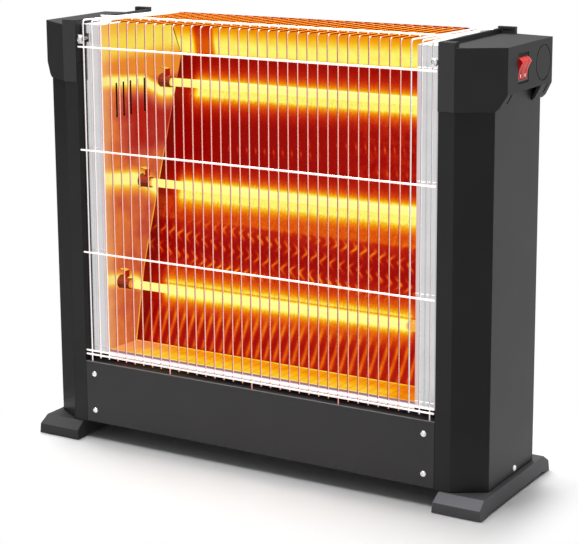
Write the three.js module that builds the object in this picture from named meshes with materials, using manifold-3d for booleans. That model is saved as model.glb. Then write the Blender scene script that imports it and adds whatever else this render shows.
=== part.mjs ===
// Three-tube quartz radiant heater on two columns.
// Millimetres. +X is the right-hand side, +Y the back, +Z up. The origin is on the floor,
// under the middle of the heater.
import * as THREE from 'three';
import { mergeVertices } from 'three/addons/utils/BufferGeometryUtils.js';
import Module from 'manifold-3d';

const wasm = await Module();
wasm.setup();

// ---------------------------------------------------------------- driving dimensions

const GAP = 0.3;                  // clearance between pieces that seat on each other
const SHEET = 0.7;                // folded sheet metal

// feet
const FOOT_LENGTH = 182.4;
const FOOT_WIDTH = 57.4;
const FOOT_STEP = 3.7;            // foot's inner side, outside the column's inner face
const FOOT_HEIGHT = 19.6;
const FOOT_TOE_HEIGHT = 11.3;     // upright end face, below the slope
const FOOT_SLOPE = 12.6;          // length of the sloped end, along Y
const FOOT_PAD = 14;              // length of the pad at each end
const FOOT_ARCH = 2.6;            // how far the underside is raised between the pads
const FOOT_DRAFT = 0.1;           // outward lean of the long sides, per mm of height
const SPIGOT_LENGTH = 90;
const SPIGOT_HEIGHT = 14;
const TOE = 14.2;                 // how far the foot reaches in front of the column

// columns
const COLUMN_INNER = 228;         // from the middle of the heater to the column
const COLUMN_WIDTH = 53.3;
const COLUMN_DEPTH = 137.5;
const COLUMN_WALL = 2.2;
const STRIP_WIDTH = 18.5;         // flat strip on the column's front
const BEVEL_DEPTH = 22;           // reach of the slanted front face, along Y
const COLUMN_LIP = 11;            // returned edge beside the reflector
const COLUMN_OVERLAP = 21.3;      // height of the column inside the cap
const COLUMN_SCREW_SETBACK = 85.8;   // setbacks are measured from the columns' front

// caps
const CAP_TOP = 490;
const CAP_HEIGHT = 65.3;
const CAP_WALL = 3;
const CAP_PROUD = 1.8;            // how far the cap stands in front of the column
const CAP_OVERHANG = 11;          // how far it stands out beside the column
const CAP_BACK = 3.9;             // how far it reaches behind the column, at its outer side
const CAP_BACK_INNER = 15;        // and at its inner side
const SKIRT_CHAMFER = 17;         // height of the undercut chamfer along the side
const CHAMFER_KNEE = [7, 3.5];    // the chamfer's corner: in from the side, up from the bottom
const RIM_HEIGHT = 5.5;
const RIM_LEG_DEPTH = 11;
const RIM_WIDTH = 3.6;
const LUG_HEIGHT = 7.5;
const LUG_SIZE = [20, 6];         // along X, along Y
const LUG_GROOVE = [11, 1.6, 1.6];   // width, depth and height of the groove in its front
const GRIP_LENGTH = 66;           // finger recess in the skirt
const GRIP_SETBACK = 80.5;        // its middle
const SLIT_WIDTH = 3.6;
const SLIT_SETBACKS = [38.5, 131];
const SLIT_RISE = [6.5, 16.5];    // its ends above the cap's bottom
const SLIT_MARGIN = 6;            // the room under the skirt reaches this far beyond the slits

// grille
const WIRE_RADIUS = 1.0;
const BAR_RADIUS = 1.45;
const WIRE_COUNT = 37;
const WIRE_MARGIN = 7.2;          // outermost wires to the reflector box's edge
const LONG_WIRE_COUNT = 5;        // these reach down into the front panel
const WIRE_SETBACK = 2.8;
const GRILLE_RISE = 4;            // centres of the top wires above the caps' top
const GRILLE_BEND = 5;
const WIRE_CLEARANCE = 4.8;       // short wires' ends above the front panel
const LONG_WIRE_DEPTH = 4.8;      // long wires' ends below the panel's top
const HIGH_BARS = [28.8, 147.6, 268];   // below the top wires
const LOW_BARS = [13.2, 8.6];     // above the front panel
const TOP_BAR_SETBACK = 45.8;     // the bar across the top wires
const BAR_MARGIN = 1.2;           // bars' ends to the edge
const BAR_OVERLAP = 0.35;         // how deep the welds sink the bars into the wires

// reflector box
const FLANGE_SETBACK = 8.8;       // front flanges
const SIDE_FLANGE = 27.7;         // their width at the box's mouth
const SIDE_SPLAY = 8;             // how much each side closes in towards the back
const SIDE_RISE = 9.2;            // the box's bottom above the front panel
const SIDE_REAR_FLANGE = 22;
const FOLD_HIGH = [4, 48.65];     // upper fold: in front of the cover, below the box's top
const LIP = [23, 48];             // the edge over the top tube: forward and up from there
const TRAY_RISE = 6.2;            // the tray's front edge above the box's bottom
const TRAY_DEPTH = 50.7;
const TRAY_FALL = 1;
const TRAY_LIP = 8;
const FOLD_LOW = [18, 86.8];      // lower fold: behind and above the tray's rear edge
const SLOT_COUNT = 5;
const SLOT_PITCH = 12.9;
const SLOT_SETBACK = 34;          // the first slot
const SLOT_WIDTH = 3.2;
const SLOT_REACH = [32, 8];       // below and above the top tube

// tubes
const TUBE_COUNT = 3;
const TOP_TUBE = [38, 28];        // in front of and below the upper fold
const TUBE_STEP = [42.5, 114];    // forward and down to the next tube
const TUBE_RADIUS = 5;
const TUBE_WALL = 1.2;
const COIL_RADIUS = 3.3;
const PIN_RADIUS = 1.2;
const CERAMIC_RADIUS = 6.5;
const CERAMIC_INSIDE = 14;        // length inside the reflector box
const CERAMIC_OUTSIDE = 13;
const CERAMIC_SEAT = 12;          // how deep the tube sits in it
const CERAMIC_FLANGE = [9.3, 2.4];
const TUBE_HOLE_RADIUS = 8.2;
const TAB_WIDTH = 9;
const TAB_REACH = 8;
const TAB_RISE = 17;

// base
const PANEL_LIFT = 1.4;           // bottom edge above the feet
const PANEL_HEIGHT = 73.8;
const PANEL_FLANGE = 17;
const PAN_HEIGHTS = [66, 12];     // its front and rear walls
const PANEL_SCREW_INSET = [12.2, 14.7];   // from the panel's end, from its edges

// rear cover
const BODY_BACK = 161;            // setback of its outer face
const COVER_SHOULDER = [6.1, 22]; // slope at its top: depth, height
const COVER_FLANGE = 8.5;         // reach of the top flange, forward
const COVER_SIDE_DEPTH = 24;
const VENT_COUNT = 9;
const VENT_ROWS = 3;              // in each of the two fields
const VENT_PITCH = [42, 16];
const VENT_SIZE = [30, 5];
const VENT_INSET = [46, 24];      // above the box's bottom, below the shoulder
const REAR_SCREW_INSET = 27;

// screws: head radius, head height, shank radius
const PAN_SCREW = [3.5, 2.2, 1.7];
const CLIP_SCREW = [4, 2.4, 1.7];
const SHANK_LENGTH = 10;

// grille clips
const CLIP_DROP = 20;             // below the top wires
const CLIP_SIZE = [8.2, 10];
const CLIP_LEG = 4;

// switch and round groove on the right cap
const SWITCH_SETBACK = 65.7;
const SWITCH_DROP = 24.7;         // below the cap's top
const BEZEL_SIZE = [25.4, 30.9, 1.2];
const BEZEL_INSET = 0.5;          // bezel below the cap's face
const BODY_WALL = 0.6;            // housing beside the rockers
const BODY_HEIGHT = 28.4;
const BODY_REAR = 17;             // housing behind the pivot
const WELL_CLEARANCE = 0.25;      // beside and between the rockers
const PIVOT_DEPTH = 7;            // pivot behind the cap's face
const ROCKER_RADIUS = 13;
const ROCKER_WIDTH = 11;
const ROCKER_SWING = 15;          // degrees to each side of the middle
const ROCKER_TIP = 45;            // degrees from the middle to each pressing edge
const ROCKER_HOLLOW = 1.8;        // depth of the finger hollow
const SWITCH_PIN_RADIUS = 1.2;
const BLADE_SIZE = [7, 0.8, 6.3];
const GROOVE_SETBACK = 117.6;
const GROOVE_RADIUS = 18.6;
const GROOVE_SIZE = [1.1, 0.9];   // width, depth

// electrical pieces in the base and on the reflector's side
const FITTINGS_SETBACK = 97;
const BLOCK_SIZE = [44, 22, 16];
const BLOCK_INSET = 77.7;         // from the pan's end
const TIP_SWITCH_SIZE = [24, 22, 30];
const TIP_SWITCH_INSET = 107.7;
const CUTOUT_RADIUS = 8;
const CUTOUT_SETBACK = 87;
const CUTOUT_DROP = 50;           // below the box's top
const GLAND_INSET = [42.7, 23.7]; // from the cover's end, above the pan
const GLAND_RADIUS = 7;
const LOOM_RADIUS = 2.5;
const LOOM_BEND = 14;

// ---------------------------------------------------------------- derived planes

const FRONT = -FOOT_LENGTH / 2 + TOE;
const behind = (setback) => FRONT + setback;
const COLUMN_OUTER = COLUMN_INNER + COLUMN_WIDTH;
const COLUMN_BACK = behind(COLUMN_DEPTH);
const COLUMN_BOTTOM = FOOT_HEIGHT + GAP;
const CAP_BOTTOM = CAP_TOP - CAP_HEIGHT;
const COLUMN_TOP = CAP_BOTTOM + COLUMN_OVERLAP;
const CAP_OUTER = COLUMN_OUTER + CAP_OVERHANG;
const CAP_INNER = COLUMN_INNER + GAP;
const CAP_FRONT = FRONT - CAP_PROUD;
const DECK = [COLUMN_TOP + GAP, COLUMN_TOP + GAP + CAP_WALL];
const GRIP_Y = [-1, 1].map((way) => behind(GRIP_SETBACK) + way * GRIP_LENGTH / 2);

const INSIDE = COLUMN_INNER - GAP;            // half width between the columns
const MOUTH_HALF = INSIDE - SIDE_FLANGE;      // half width of the box at its mouth
const FLANGE_Y = behind(FLANGE_SETBACK);
const COVER_BACK = behind(BODY_BACK);
const SIDE_BACK = COVER_BACK - SHEET - GAP;   // rear face of the sides' rear flanges

const WIRE_Y = behind(WIRE_SETBACK);
const WIRE_PITCH = 2 * (INSIDE - WIRE_MARGIN) / (WIRE_COUNT - 1);
const LONG_WIRE_STEP = (WIRE_COUNT - 1) / (LONG_WIRE_COUNT - 1);
const GRILLE_TOP = CAP_TOP + GRILLE_RISE;     // centre height of the top wires
const GRILLE_BACK = COVER_BACK - COVER_SHOULDER[0] - GAP;
const WELD = WIRE_RADIUS + BAR_RADIUS - BAR_OVERLAP;   // from a wire's centre to a bar's

const PANEL_BOTTOM = FOOT_HEIGHT + PANEL_LIFT;
const PANEL_TOP = PANEL_BOTTOM + PANEL_HEIGHT;
const PAN_Z = PANEL_BOTTOM + SHEET + GAP;
const PAN_FLOOR = PAN_Z + SHEET + GAP;        // what stands on the pan starts here
const SIDE_BOTTOM = PANEL_TOP + SIDE_RISE;
const SIDE_TOP = GRILLE_TOP - WELD - BAR_RADIUS - GAP; // the rear bar rests on the sheets' top
const SHOULDER_Z = SIDE_TOP - COVER_SHOULDER[1];

// inner face of the reflector's side at a depth y
const sideX = (y) => MOUTH_HALF - SIDE_SPLAY * (y - FLANGE_Y) / (SIDE_BACK - FLANGE_Y);

// the reflector's folds as (y, z)
const foldHigh = [COVER_BACK - FOLD_HIGH[0], SIDE_TOP - FOLD_HIGH[1]];
const trayFront = [FLANGE_Y, SIDE_BOTTOM + TRAY_RISE];
const trayBack = [FLANGE_Y + TRAY_DEPTH, trayFront[1] - TRAY_FALL];

const tubes = [];
for (let i = 0; i < TUBE_COUNT; i++) {
  const y = foldHigh[0] - TOP_TUBE[0] - i * TUBE_STEP[0];
  const z = foldHigh[1] - TOP_TUBE[1] - i * TUBE_STEP[1];
  tubes.push({ name: i + 1, y, z, side: sideX(y) });
}

// ---------------------------------------------------------------- solids

// A closed BufferGeometry as a solid, whichever way its faces wind.
function solid(geometry) {
  const bare = geometry.clone();
  for (const name of Object.keys(bare.attributes)) {
    if (name !== 'position') bare.deleteAttribute(name);
  }
  const merged = mergeVertices(bare, 1e-4);
  const position = merged.attributes.position;
  const corners = [0, 1, 2].map(() => new THREE.Vector3());
  const triangles = [];
  let volume = 0;
  for (let i = 0; i < merged.index.count; i += 3) {
    const face = [0, 1, 2].map((k) => merged.index.getX(i + k));
    if (new Set(face).size < 3) continue;
    face.forEach((vertex, k) => corners[k].fromBufferAttribute(position, vertex));
    volume += corners[0].dot(corners[1].cross(corners[2]));
    triangles.push(face);
  }
  if (volume < 0) triangles.forEach((face) => face.reverse());
  return new wasm.Manifold(new wasm.Mesh({
    numProp: 3,
    vertProperties: new Float32Array(position.array),
    triVerts: new Uint32Array(triangles.flat()),
  }));
}

const join = (...parts) => parts.reduce((whole, part) => whole.add(part));
const cut = (whole, ...parts) => parts.reduce((rest, part) => rest.subtract(part), whole);

function box(x, y, z) {
  const size = [x, y, z].map(([low, high]) => Math.abs(high - low));
  const middle = [x, y, z].map(([low, high]) => (low + high) / 2);
  return solid(new THREE.BoxGeometry(...size).translate(...middle));
}

const X = new THREE.Vector3(1, 0, 0);
const Y = new THREE.Vector3(0, 1, 0);
const Z = new THREE.Vector3(0, 0, 1);
// the plane of an outline: (y, z) along X, (z, x) along Y and (x, y) along Z
const PLANES = {
  x: new THREE.Matrix4().makeBasis(Y, Z, X),
  y: new THREE.Matrix4().makeBasis(Z, X, Y),
  z: new THREE.Matrix4(),
};

// An outline pushed along an axis. Outlines along Y are given as (x, z).
function prism(axis, outline, from, to) {
  const points = outline.map(([a, b]) => (axis === 'y' ? new THREE.Vector2(b, a) : new THREE.Vector2(a, b)));
  const shape = new THREE.Shape(points);
  const geometry = new THREE.ExtrudeGeometry(shape, { depth: to - from, bevelEnabled: false });
  return solid(geometry.translate(0, 0, from).applyMatrix4(PLANES[axis]));
}

function rod(axis, centre, radius, from, to, sides = 16) {
  const angle = (i) => (i + 0.5) / sides * 2 * Math.PI;
  const outline = Array.from({ length: sides }, (_, i) => [
    centre[0] + radius * Math.cos(angle(i)),
    centre[1] + radius * Math.sin(angle(i)),
  ]);
  return prism(axis, outline, from, to);
}

// A profile of (radius, distance) turned round the X axis; side -1 mirrors it.
function turned(profile, side = 1, segments = 12) {
  const points = profile.map(([radius, along]) => new THREE.Vector2(radius, side * along));
  return solid(new THREE.LatheGeometry(points, segments).rotateZ(-Math.PI / 2));
}

// Moves a path to the right of its direction.
function offsetPath(points, distance, closed = false) {
  const count = points.length;
  const normal = (a, b) => new THREE.Vector2(b[1] - a[1], a[0] - b[0]).normalize();
  return points.map((point, i) => {
    const normals = [];
    if (closed || i > 0) normals.push(normal(points[(i - 1 + count) % count], point));
    if (closed || i < count - 1) normals.push(normal(point, points[(i + 1) % count]));
    const mitre = normals.reduce((sum, n) => sum.clone().add(n)).normalize();
    const reach = distance / mitre.dot(normals[0]);
    return [point[0] + mitre.x * reach, point[1] + mitre.y * reach];
  });
}

// The cut edge of a folded sheet whose one face follows the path.
const sheet = (path, thickness = SHEET) => [...path, ...offsetPath(path, thickness).reverse()];

const mirrored = (side, points) => points.map(([x, other]) => [side * x, other]);

// A round wire through stations, one ring of the section at each.
class WirePath extends THREE.Curve {
  constructor(stations) {
    super();
    this.stations = stations.map((station) => new THREE.Vector3(...station));
  }

  getPoint(t) {
    const place = t * (this.stations.length - 1);
    const low = Math.min(Math.floor(place), this.stations.length - 2);
    return this.stations[low].clone().lerp(this.stations[low + 1], place - low);
  }

  getPointAt(t) {
    return this.getPoint(t);
  }

  getTangentAt(t) {
    const last = this.stations.length - 1;
    const at = Math.round(t * last);
    const direction = (from, to) => this.stations[to].clone().sub(this.stations[from]).normalize();
    const tangent = new THREE.Vector3();
    if (at > 0) tangent.add(direction(at - 1, at));
    if (at < last) tangent.add(direction(at, at + 1));
    return tangent.normalize();
  }
}

function wire(stations, radius, sides = 6) {
  const path = new WirePath(stations);
  const angle = (i) => (i + 0.5) / sides * 2 * Math.PI;
  const section = Array.from({ length: sides }, (_, i) => (
    new THREE.Vector2(radius * Math.cos(angle(i)), radius * Math.sin(angle(i)))));
  return solid(new THREE.ExtrudeGeometry(new THREE.Shape(section), {
    steps: path.stations.length - 1,
    extrudePath: path,
  }));
}

// Rounds the inner corners of a route of points, with a few stations on each bend.
function rounded(route, bend, steps = 4) {
  const points = route.map((point) => new THREE.Vector3(...point));
  const stations = [points[0].toArray()];
  for (let i = 1; i < points.length - 1; i++) {
    const back = points[i - 1].clone().sub(points[i]).normalize().multiplyScalar(bend).add(points[i]);
    const ahead = points[i + 1].clone().sub(points[i]).normalize().multiplyScalar(bend).add(points[i]);
    const curve = new THREE.QuadraticBezierCurve3(back, points[i], ahead);
    stations.push(...curve.getPoints(steps).map((point) => point.toArray()));
  }
  stations.push(points[points.length - 1].toArray());
  return stations;
}

// ---------------------------------------------------------------- scene helpers

const heater = new THREE.Group();

const paint = (color, roughness, metalness = 0) => (
  new THREE.MeshStandardMaterial({ color, roughness, metalness, flatShading: true }));
const MATERIALS = {
  enamel: paint(0x2f2f31, 0.5, 0.2),
  plastic: paint(0x2b2b2d, 0.6),
  chrome: paint(0xe6e6e8, 0.18, 1),
  mirror: paint(0xd9d9dc, 0.2, 1),
  quartz: new THREE.MeshStandardMaterial({
    color: 0xffe080, roughness: 0.1, emissive: 0xffb030, emissiveIntensity: 2,
  }),
  coil: new THREE.MeshStandardMaterial({
    color: 0xffa040, roughness: 0.5, emissive: 0xff7010, emissiveIntensity: 3,
  }),
  ceramic: paint(0xe9dfc8, 0.7),
  red: paint(0xe01412, 0.25),
  steel: paint(0xb5b7ba, 0.35, 1),
  insulation: paint(0xdad6c8, 0.8),
};

// Adds a named piece, built in place or at its own origin and put where it belongs.
function piece(name, shape, material, parent = heater) {
  const mesh = shape.getMesh();
  const geometry = new THREE.BufferGeometry();
  geometry.setAttribute('position', new THREE.BufferAttribute(new Float32Array(mesh.vertProperties), 3));
  geometry.setIndex(new THREE.BufferAttribute(new Uint32Array(mesh.triVerts), 1));
  const object = new THREE.Mesh(geometry, MATERIALS[material]);
  object.name = name;
  parent.add(object);
  return object;
}

const SIDES = [['left', -1], ['right', 1]];

// ---------------------------------------------------------------- feet

function foot(side) {
  const end = FOOT_LENGTH / 2;
  const half = [
    [end, 0], [end, FOOT_TOE_HEIGHT], [end - FOOT_SLOPE, FOOT_HEIGHT],
  ];
  const arch = [[end - FOOT_PAD - FOOT_ARCH, FOOT_ARCH], [end - FOOT_PAD, 0]];
  const mirrorY = (points) => points.map(([y, z]) => [-y, z]).reverse();
  const profile = [...half, ...mirrorY(half), ...mirrorY(arch), ...arch];
  const inner = COLUMN_INNER + FOOT_STEP;
  const outer = inner + FOOT_WIDTH;
  const blank = prism('x', profile, side > 0 ? inner : -outer, side > 0 ? outer : -inner);
  const lean = FOOT_DRAFT * FOOT_HEIGHT;
  const shave = (x, direction) => prism('y', mirrored(side, [
    [x, 0], [x - direction * lean, FOOT_HEIGHT], [x - direction * lean, FOOT_HEIGHT + 1],
    [x + direction, FOOT_HEIGHT + 1], [x + direction, 0],
  ]), -end - 1, end + 1);
  const spigot = box(
    [side * (COLUMN_INNER + COLUMN_LIP), side * (COLUMN_OUTER - COLUMN_WALL - GAP)],
    [-1, 1].map((way) => behind(COLUMN_DEPTH / 2) + way * SPIGOT_LENGTH / 2),
    [FOOT_HEIGHT - 1, FOOT_HEIGHT + SPIGOT_HEIGHT],
  );
  const shaved = cut(blank, shave(outer, 1), shave(inner, -1));
  return cut(join(shaved, spigot), columnScrewHole(side));
}

// ---------------------------------------------------------------- columns

const COLUMN_SCREW_Y = behind(COLUMN_SCREW_SETBACK);
const COLUMN_SCREW_Z = FOOT_HEIGHT + SPIGOT_HEIGHT / 2;

function columnScrewHole(side) {
  const to = COLUMN_OUTER + 1;
  const from = COLUMN_OUTER - SHANK_LENGTH - 1;
  const hole = [COLUMN_SCREW_Y, COLUMN_SCREW_Z];
  return rod('x', hole, PAN_SCREW[2] + GAP, side > 0 ? from : -to, side > 0 ? to : -from, 10);
}

// The column's outer face, from the inner end of its front strip round to the back.
const columnFace = [
  [COLUMN_INNER, FRONT],
  [COLUMN_INNER + STRIP_WIDTH, FRONT],
  [COLUMN_OUTER, FRONT + BEVEL_DEPTH],
  [COLUMN_OUTER, COLUMN_BACK],
  [COLUMN_INNER, COLUMN_BACK],
];

function column(side) {
  const path = [
    [COLUMN_INNER, FRONT + COLUMN_LIP],
    ...columnFace,
    [COLUMN_INNER, COLUMN_BACK - COLUMN_LIP],
  ];
  const outline = [...path, ...offsetPath(path, -COLUMN_WALL).reverse()];
  const shell = prism('z', mirrored(side, outline), COLUMN_BOTTOM, COLUMN_TOP);
  return cut(shell, columnScrewHole(side));
}

// ---------------------------------------------------------------- caps

const bevelSlope = BEVEL_DEPTH / (COLUMN_WIDTH - STRIP_WIDTH);
const CAP_FACE = [
  [CAP_INNER, CAP_FRONT],
  [COLUMN_INNER + STRIP_WIDTH, CAP_FRONT],
  [CAP_OUTER, CAP_FRONT + (CAP_OUTER - COLUMN_INNER - STRIP_WIDTH) * bevelSlope],
  [CAP_OUTER, COLUMN_BACK + CAP_BACK],
  [CAP_INNER, COLUMN_BACK + CAP_BACK_INNER],
];

// What the undercut chamfer takes off along the side, or leaves out of the hollow inside it.
function underChamfer(side, inward, up) {
  const line = [
    [CAP_OUTER, CAP_BOTTOM + SKIRT_CHAMFER],
    [CAP_OUTER - CHAMFER_KNEE[0], CAP_BOTTOM + CHAMFER_KNEE[1]],
    [COLUMN_OUTER + GAP, CAP_BOTTOM],
  ].map(([x, z]) => [x - inward, z + up]);
  const below = CAP_BOTTOM - 5;
  const beyond = CAP_OUTER + 5;
  const waste = [...line, [line[2][0], below], [beyond, below], [beyond, line[0][1]]];
  return prism('y', mirrored(side, waste), CAP_FRONT - 5, COLUMN_BACK + CAP_BACK_INNER + 5);
}

function cap(side) {
  const plan = (points, from, to) => prism('z', mirrored(side, points), from, to);
  const shell = cut(plan(CAP_FACE, CAP_BOTTOM, CAP_TOP), underChamfer(side, 0, 0));

  const socket = plan(offsetPath(columnFace, GAP, true), CAP_BOTTOM - 1, DECK[0]);
  const hollow = plan(offsetPath(CAP_FACE, -CAP_WALL, true), DECK[1], CAP_TOP - CAP_WALL);
  const fingerRoom = cut(
    box(
      [side * (COLUMN_OUTER - COLUMN_WALL), side * (CAP_OUTER - CAP_WALL)],
      [behind(SLIT_SETBACKS[0]) - SLIT_MARGIN, behind(SLIT_SETBACKS[1]) + SLIT_MARGIN],
      [CAP_BOTTOM - 1, DECK[0]],
    ),
    underChamfer(side, CAP_WALL, CAP_WALL / 2),
  );
  const skirt = [CAP_BOTTOM - 1, CAP_BOTTOM + SKIRT_CHAMFER];
  const outward = [side * (COLUMN_OUTER + GAP), side * (CAP_OUTER + 1)];
  const recess = box(outward, GRIP_Y, skirt);
  const slits = SLIT_SETBACKS.map(behind).map((middle) => box(
    outward,
    [middle - SLIT_WIDTH / 2, middle + SLIT_WIDTH / 2],
    SLIT_RISE.map((rise) => CAP_BOTTOM + rise),
  ));

  const stripEdge = COLUMN_INNER + STRIP_WIDTH;
  const backInner = COLUMN_BACK + CAP_BACK_INNER;
  const leg = box(
    [side * CAP_INNER, side * stripEdge],
    [CAP_FRONT, CAP_FRONT + RIM_LEG_DEPTH],
    [CAP_TOP - 1, CAP_TOP + RIM_HEIGHT],
  );
  const rim = box(
    [side * CAP_INNER, side * (CAP_INNER + RIM_WIDTH)],
    [CAP_FRONT + RIM_LEG_DEPTH / 2, backInner - CAP_BACK_INNER / 2],
    [CAP_TOP - 1, CAP_TOP + RIM_HEIGHT],
  );
  const lugBack = backInner - CAP_BACK_INNER / 4;
  const lugFront = lugBack - LUG_SIZE[1];
  const lugEdge = CAP_INNER + LUG_SIZE[0];
  const lug = box(
    [side * CAP_INNER, side * lugEdge],
    [lugFront, lugBack],
    [CAP_TOP - 1, CAP_TOP + LUG_HEIGHT],
  );
  const [grooveWidth, grooveDepth, grooveHeight] = LUG_GROOVE;
  const grooveX = (CAP_INNER + RIM_WIDTH + lugEdge) / 2;
  const grooveZ = CAP_TOP + LUG_HEIGHT / 2;
  const lugGroove = box(
    [side * (grooveX - grooveWidth / 2), side * (grooveX + grooveWidth / 2)],
    [lugFront - 1, lugFront + grooveDepth],
    [grooveZ - grooveHeight / 2, grooveZ + grooveHeight / 2],
  );
  const loomHole = rod('z', [side * LOOM_X, LOOM_Y], LOOM_RADIUS + GAP, DECK[0] - 1, DECK[1] + 1, 12);
  const outside = join(shell, leg, rim, lug);
  return cut(outside, socket, hollow, fingerRoom, recess, ...slits, lugGroove, loomHole);
}

const WELL_WIDTH = 2 * ROCKER_WIDTH + 3 * WELL_CLEARANCE;
const BODY_WIDTH = WELL_WIDTH + 2 * BODY_WALL;
const SWITCH_Y = behind(SWITCH_SETBACK);
const SWITCH_Z = CAP_TOP - SWITCH_DROP;
const GROOVE_Y = behind(GROOVE_SETBACK);

// The right-hand cap also takes the switch and has the round moulded groove.
function switchCap() {
  const [width, height, thickness] = BEZEL_SIZE;
  const square = (w, h, from, to) => box(
    [CAP_OUTER - from, CAP_OUTER - to],
    [SWITCH_Y - w / 2, SWITCH_Y + w / 2],
    [SWITCH_Z - h / 2, SWITCH_Z + h / 2],
  );
  const seat = square(width + 2 * GAP, height + 2 * GAP, BEZEL_INSET + thickness + GAP, -1);
  const window = square(BODY_WIDTH + 2 * GAP, BODY_HEIGHT + 2 * GAP, CAP_WALL + 1, 0);
  const ring = (radius) => rod(
    'x', [GROOVE_Y, SWITCH_Z], radius, CAP_OUTER - GROOVE_SIZE[1], CAP_OUTER + 1, 40);
  const groove = cut(ring(GROOVE_RADIUS + GROOVE_SIZE[0] / 2), ring(GROOVE_RADIUS - GROOVE_SIZE[0] / 2));
  return cut(cap(1), seat, window, groove);
}

// ---------------------------------------------------------------- grille

function wireGrille() {
  const parts = [];
  const half = (WIRE_COUNT - 1) / 2;
  for (let i = 0; i < WIRE_COUNT; i++) {
    const x = (i - half) * WIRE_PITCH;
    const bottom = PANEL_TOP + (i % LONG_WIRE_STEP === 0 ? -LONG_WIRE_DEPTH : WIRE_CLEARANCE);
    const route = [[x, WIRE_Y, bottom], [x, WIRE_Y, GRILLE_TOP], [x, GRILLE_BACK, GRILLE_TOP]];
    parts.push(wire(rounded(route, GRILLE_BEND, 3), WIRE_RADIUS));
  }
  const end = INSIDE - BAR_MARGIN;
  const bar = (y, z) => wire([[-end, y, z], [end, y, z]], BAR_RADIUS);
  for (const drop of HIGH_BARS) parts.push(bar(WIRE_Y - WELD, GRILLE_TOP - drop));
  for (const rise of LOW_BARS) parts.push(bar(WIRE_Y - WELD, PANEL_TOP + rise));
  parts.push(bar(behind(TOP_BAR_SETBACK), GRILLE_TOP + WELD));
  parts.push(bar(GRILLE_BACK - BAR_RADIUS, GRILLE_TOP - WELD));
  return join(...parts);
}

const CLIP_X = INSIDE - CLIP_SIZE[0] / 2;
const CLIP_Z = GRILLE_TOP - CLIP_DROP;
const CLIP_BACK = WIRE_Y - WIRE_RADIUS - GAP;   // the plate's rear face, against the wires

function grilleClip(side) {
  const [width, height] = CLIP_SIZE;
  const plate = box(
    [side * (INSIDE - width), side * INSIDE],
    [CLIP_BACK - SHEET, CLIP_BACK],
    [CLIP_Z - height / 2, CLIP_Z + height / 2],
  );
  const leg = box(
    [side * (CLIP_X + CLIP_SCREW[2] + GAP), side * INSIDE],
    [CLIP_BACK - SHEET / 2, FLANGE_Y - GAP],
    [CLIP_Z - CLIP_LEG / 2, CLIP_Z + CLIP_LEG / 2],
  );
  const hole = rod('y', [side * CLIP_X, CLIP_Z], CLIP_SCREW[2] + GAP, CLIP_BACK - 5, CLIP_BACK + 5, 10);
  return cut(join(plate, leg), hole);
}

// ---------------------------------------------------------------- reflector box

function sheetAcross(path, half) {
  return prism('x', sheet(path), -half, half);
}

// The cover's outer face: top flange, sloped shoulder, back.
const coverPath = [
  [COVER_BACK - COVER_SHOULDER[0] - COVER_FLANGE, SIDE_TOP],
  [COVER_BACK - COVER_SHOULDER[0], SIDE_TOP],
  [COVER_BACK, SHOULDER_Z],
  [COVER_BACK, PAN_Z],
];

// The cover and what lies beyond it, to trim what fits inside it.
function beyondCover() {
  const inside = offsetPath(coverPath, SHEET + GAP);
  const edge = coverPath[0][0] - GAP;
  return prism('x', [
    [edge, SIDE_TOP + 5], [edge, inside[0][1]], inside[1], inside[2],
    [inside[2][0], 0], [COVER_BACK + 5, 0], [COVER_BACK + 5, SIDE_TOP + 5],
  ], -COLUMN_INNER, COLUMN_INNER);
}

// Everything outside the two splayed sides, to trim what fits between them.
function outsideSides() {
  const near = FLANGE_Y - 20;
  const far = COVER_BACK + 20;
  const clear = (y) => sideX(y) - GAP;
  return SIDES.map(([, side]) => prism('z', mirrored(side, [
    [clear(near), near], [MOUTH_HALF + 60, near], [MOUTH_HALF + 60, far], [clear(far), far],
  ]), 0, CAP_TOP));
}

function reflectorBack() {
  const path = [
    [trayBack[0], trayBack[1] - 2 * SHEET],
    [trayBack[0] + FOLD_LOW[0], trayBack[1] + FOLD_LOW[1]],
    foldHigh,
    [foldHigh[0] - LIP[0], foldHigh[1] + LIP[1]],
  ];
  const [rear, front] = offsetPath(trayPath, GAP);
  const tray = prism('x', [rear, front, [front[0], 0], [rear[0], 0]], -MOUTH_HALF, MOUTH_HALF);
  return cut(sheetAcross(path, MOUTH_HALF), tray, ...outsideSides());
}

const trayPath = [
  [trayBack[0] + 3 * SHEET, trayBack[1]],
  trayFront,
  [trayFront[0], trayFront[1] - TRAY_LIP],
];

function reflectorTray() {
  const plate = prism('x', sheet(trayPath, -SHEET), -MOUTH_HALF, MOUTH_HALF);
  return cut(plate, ...outsideSides());
}

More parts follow.
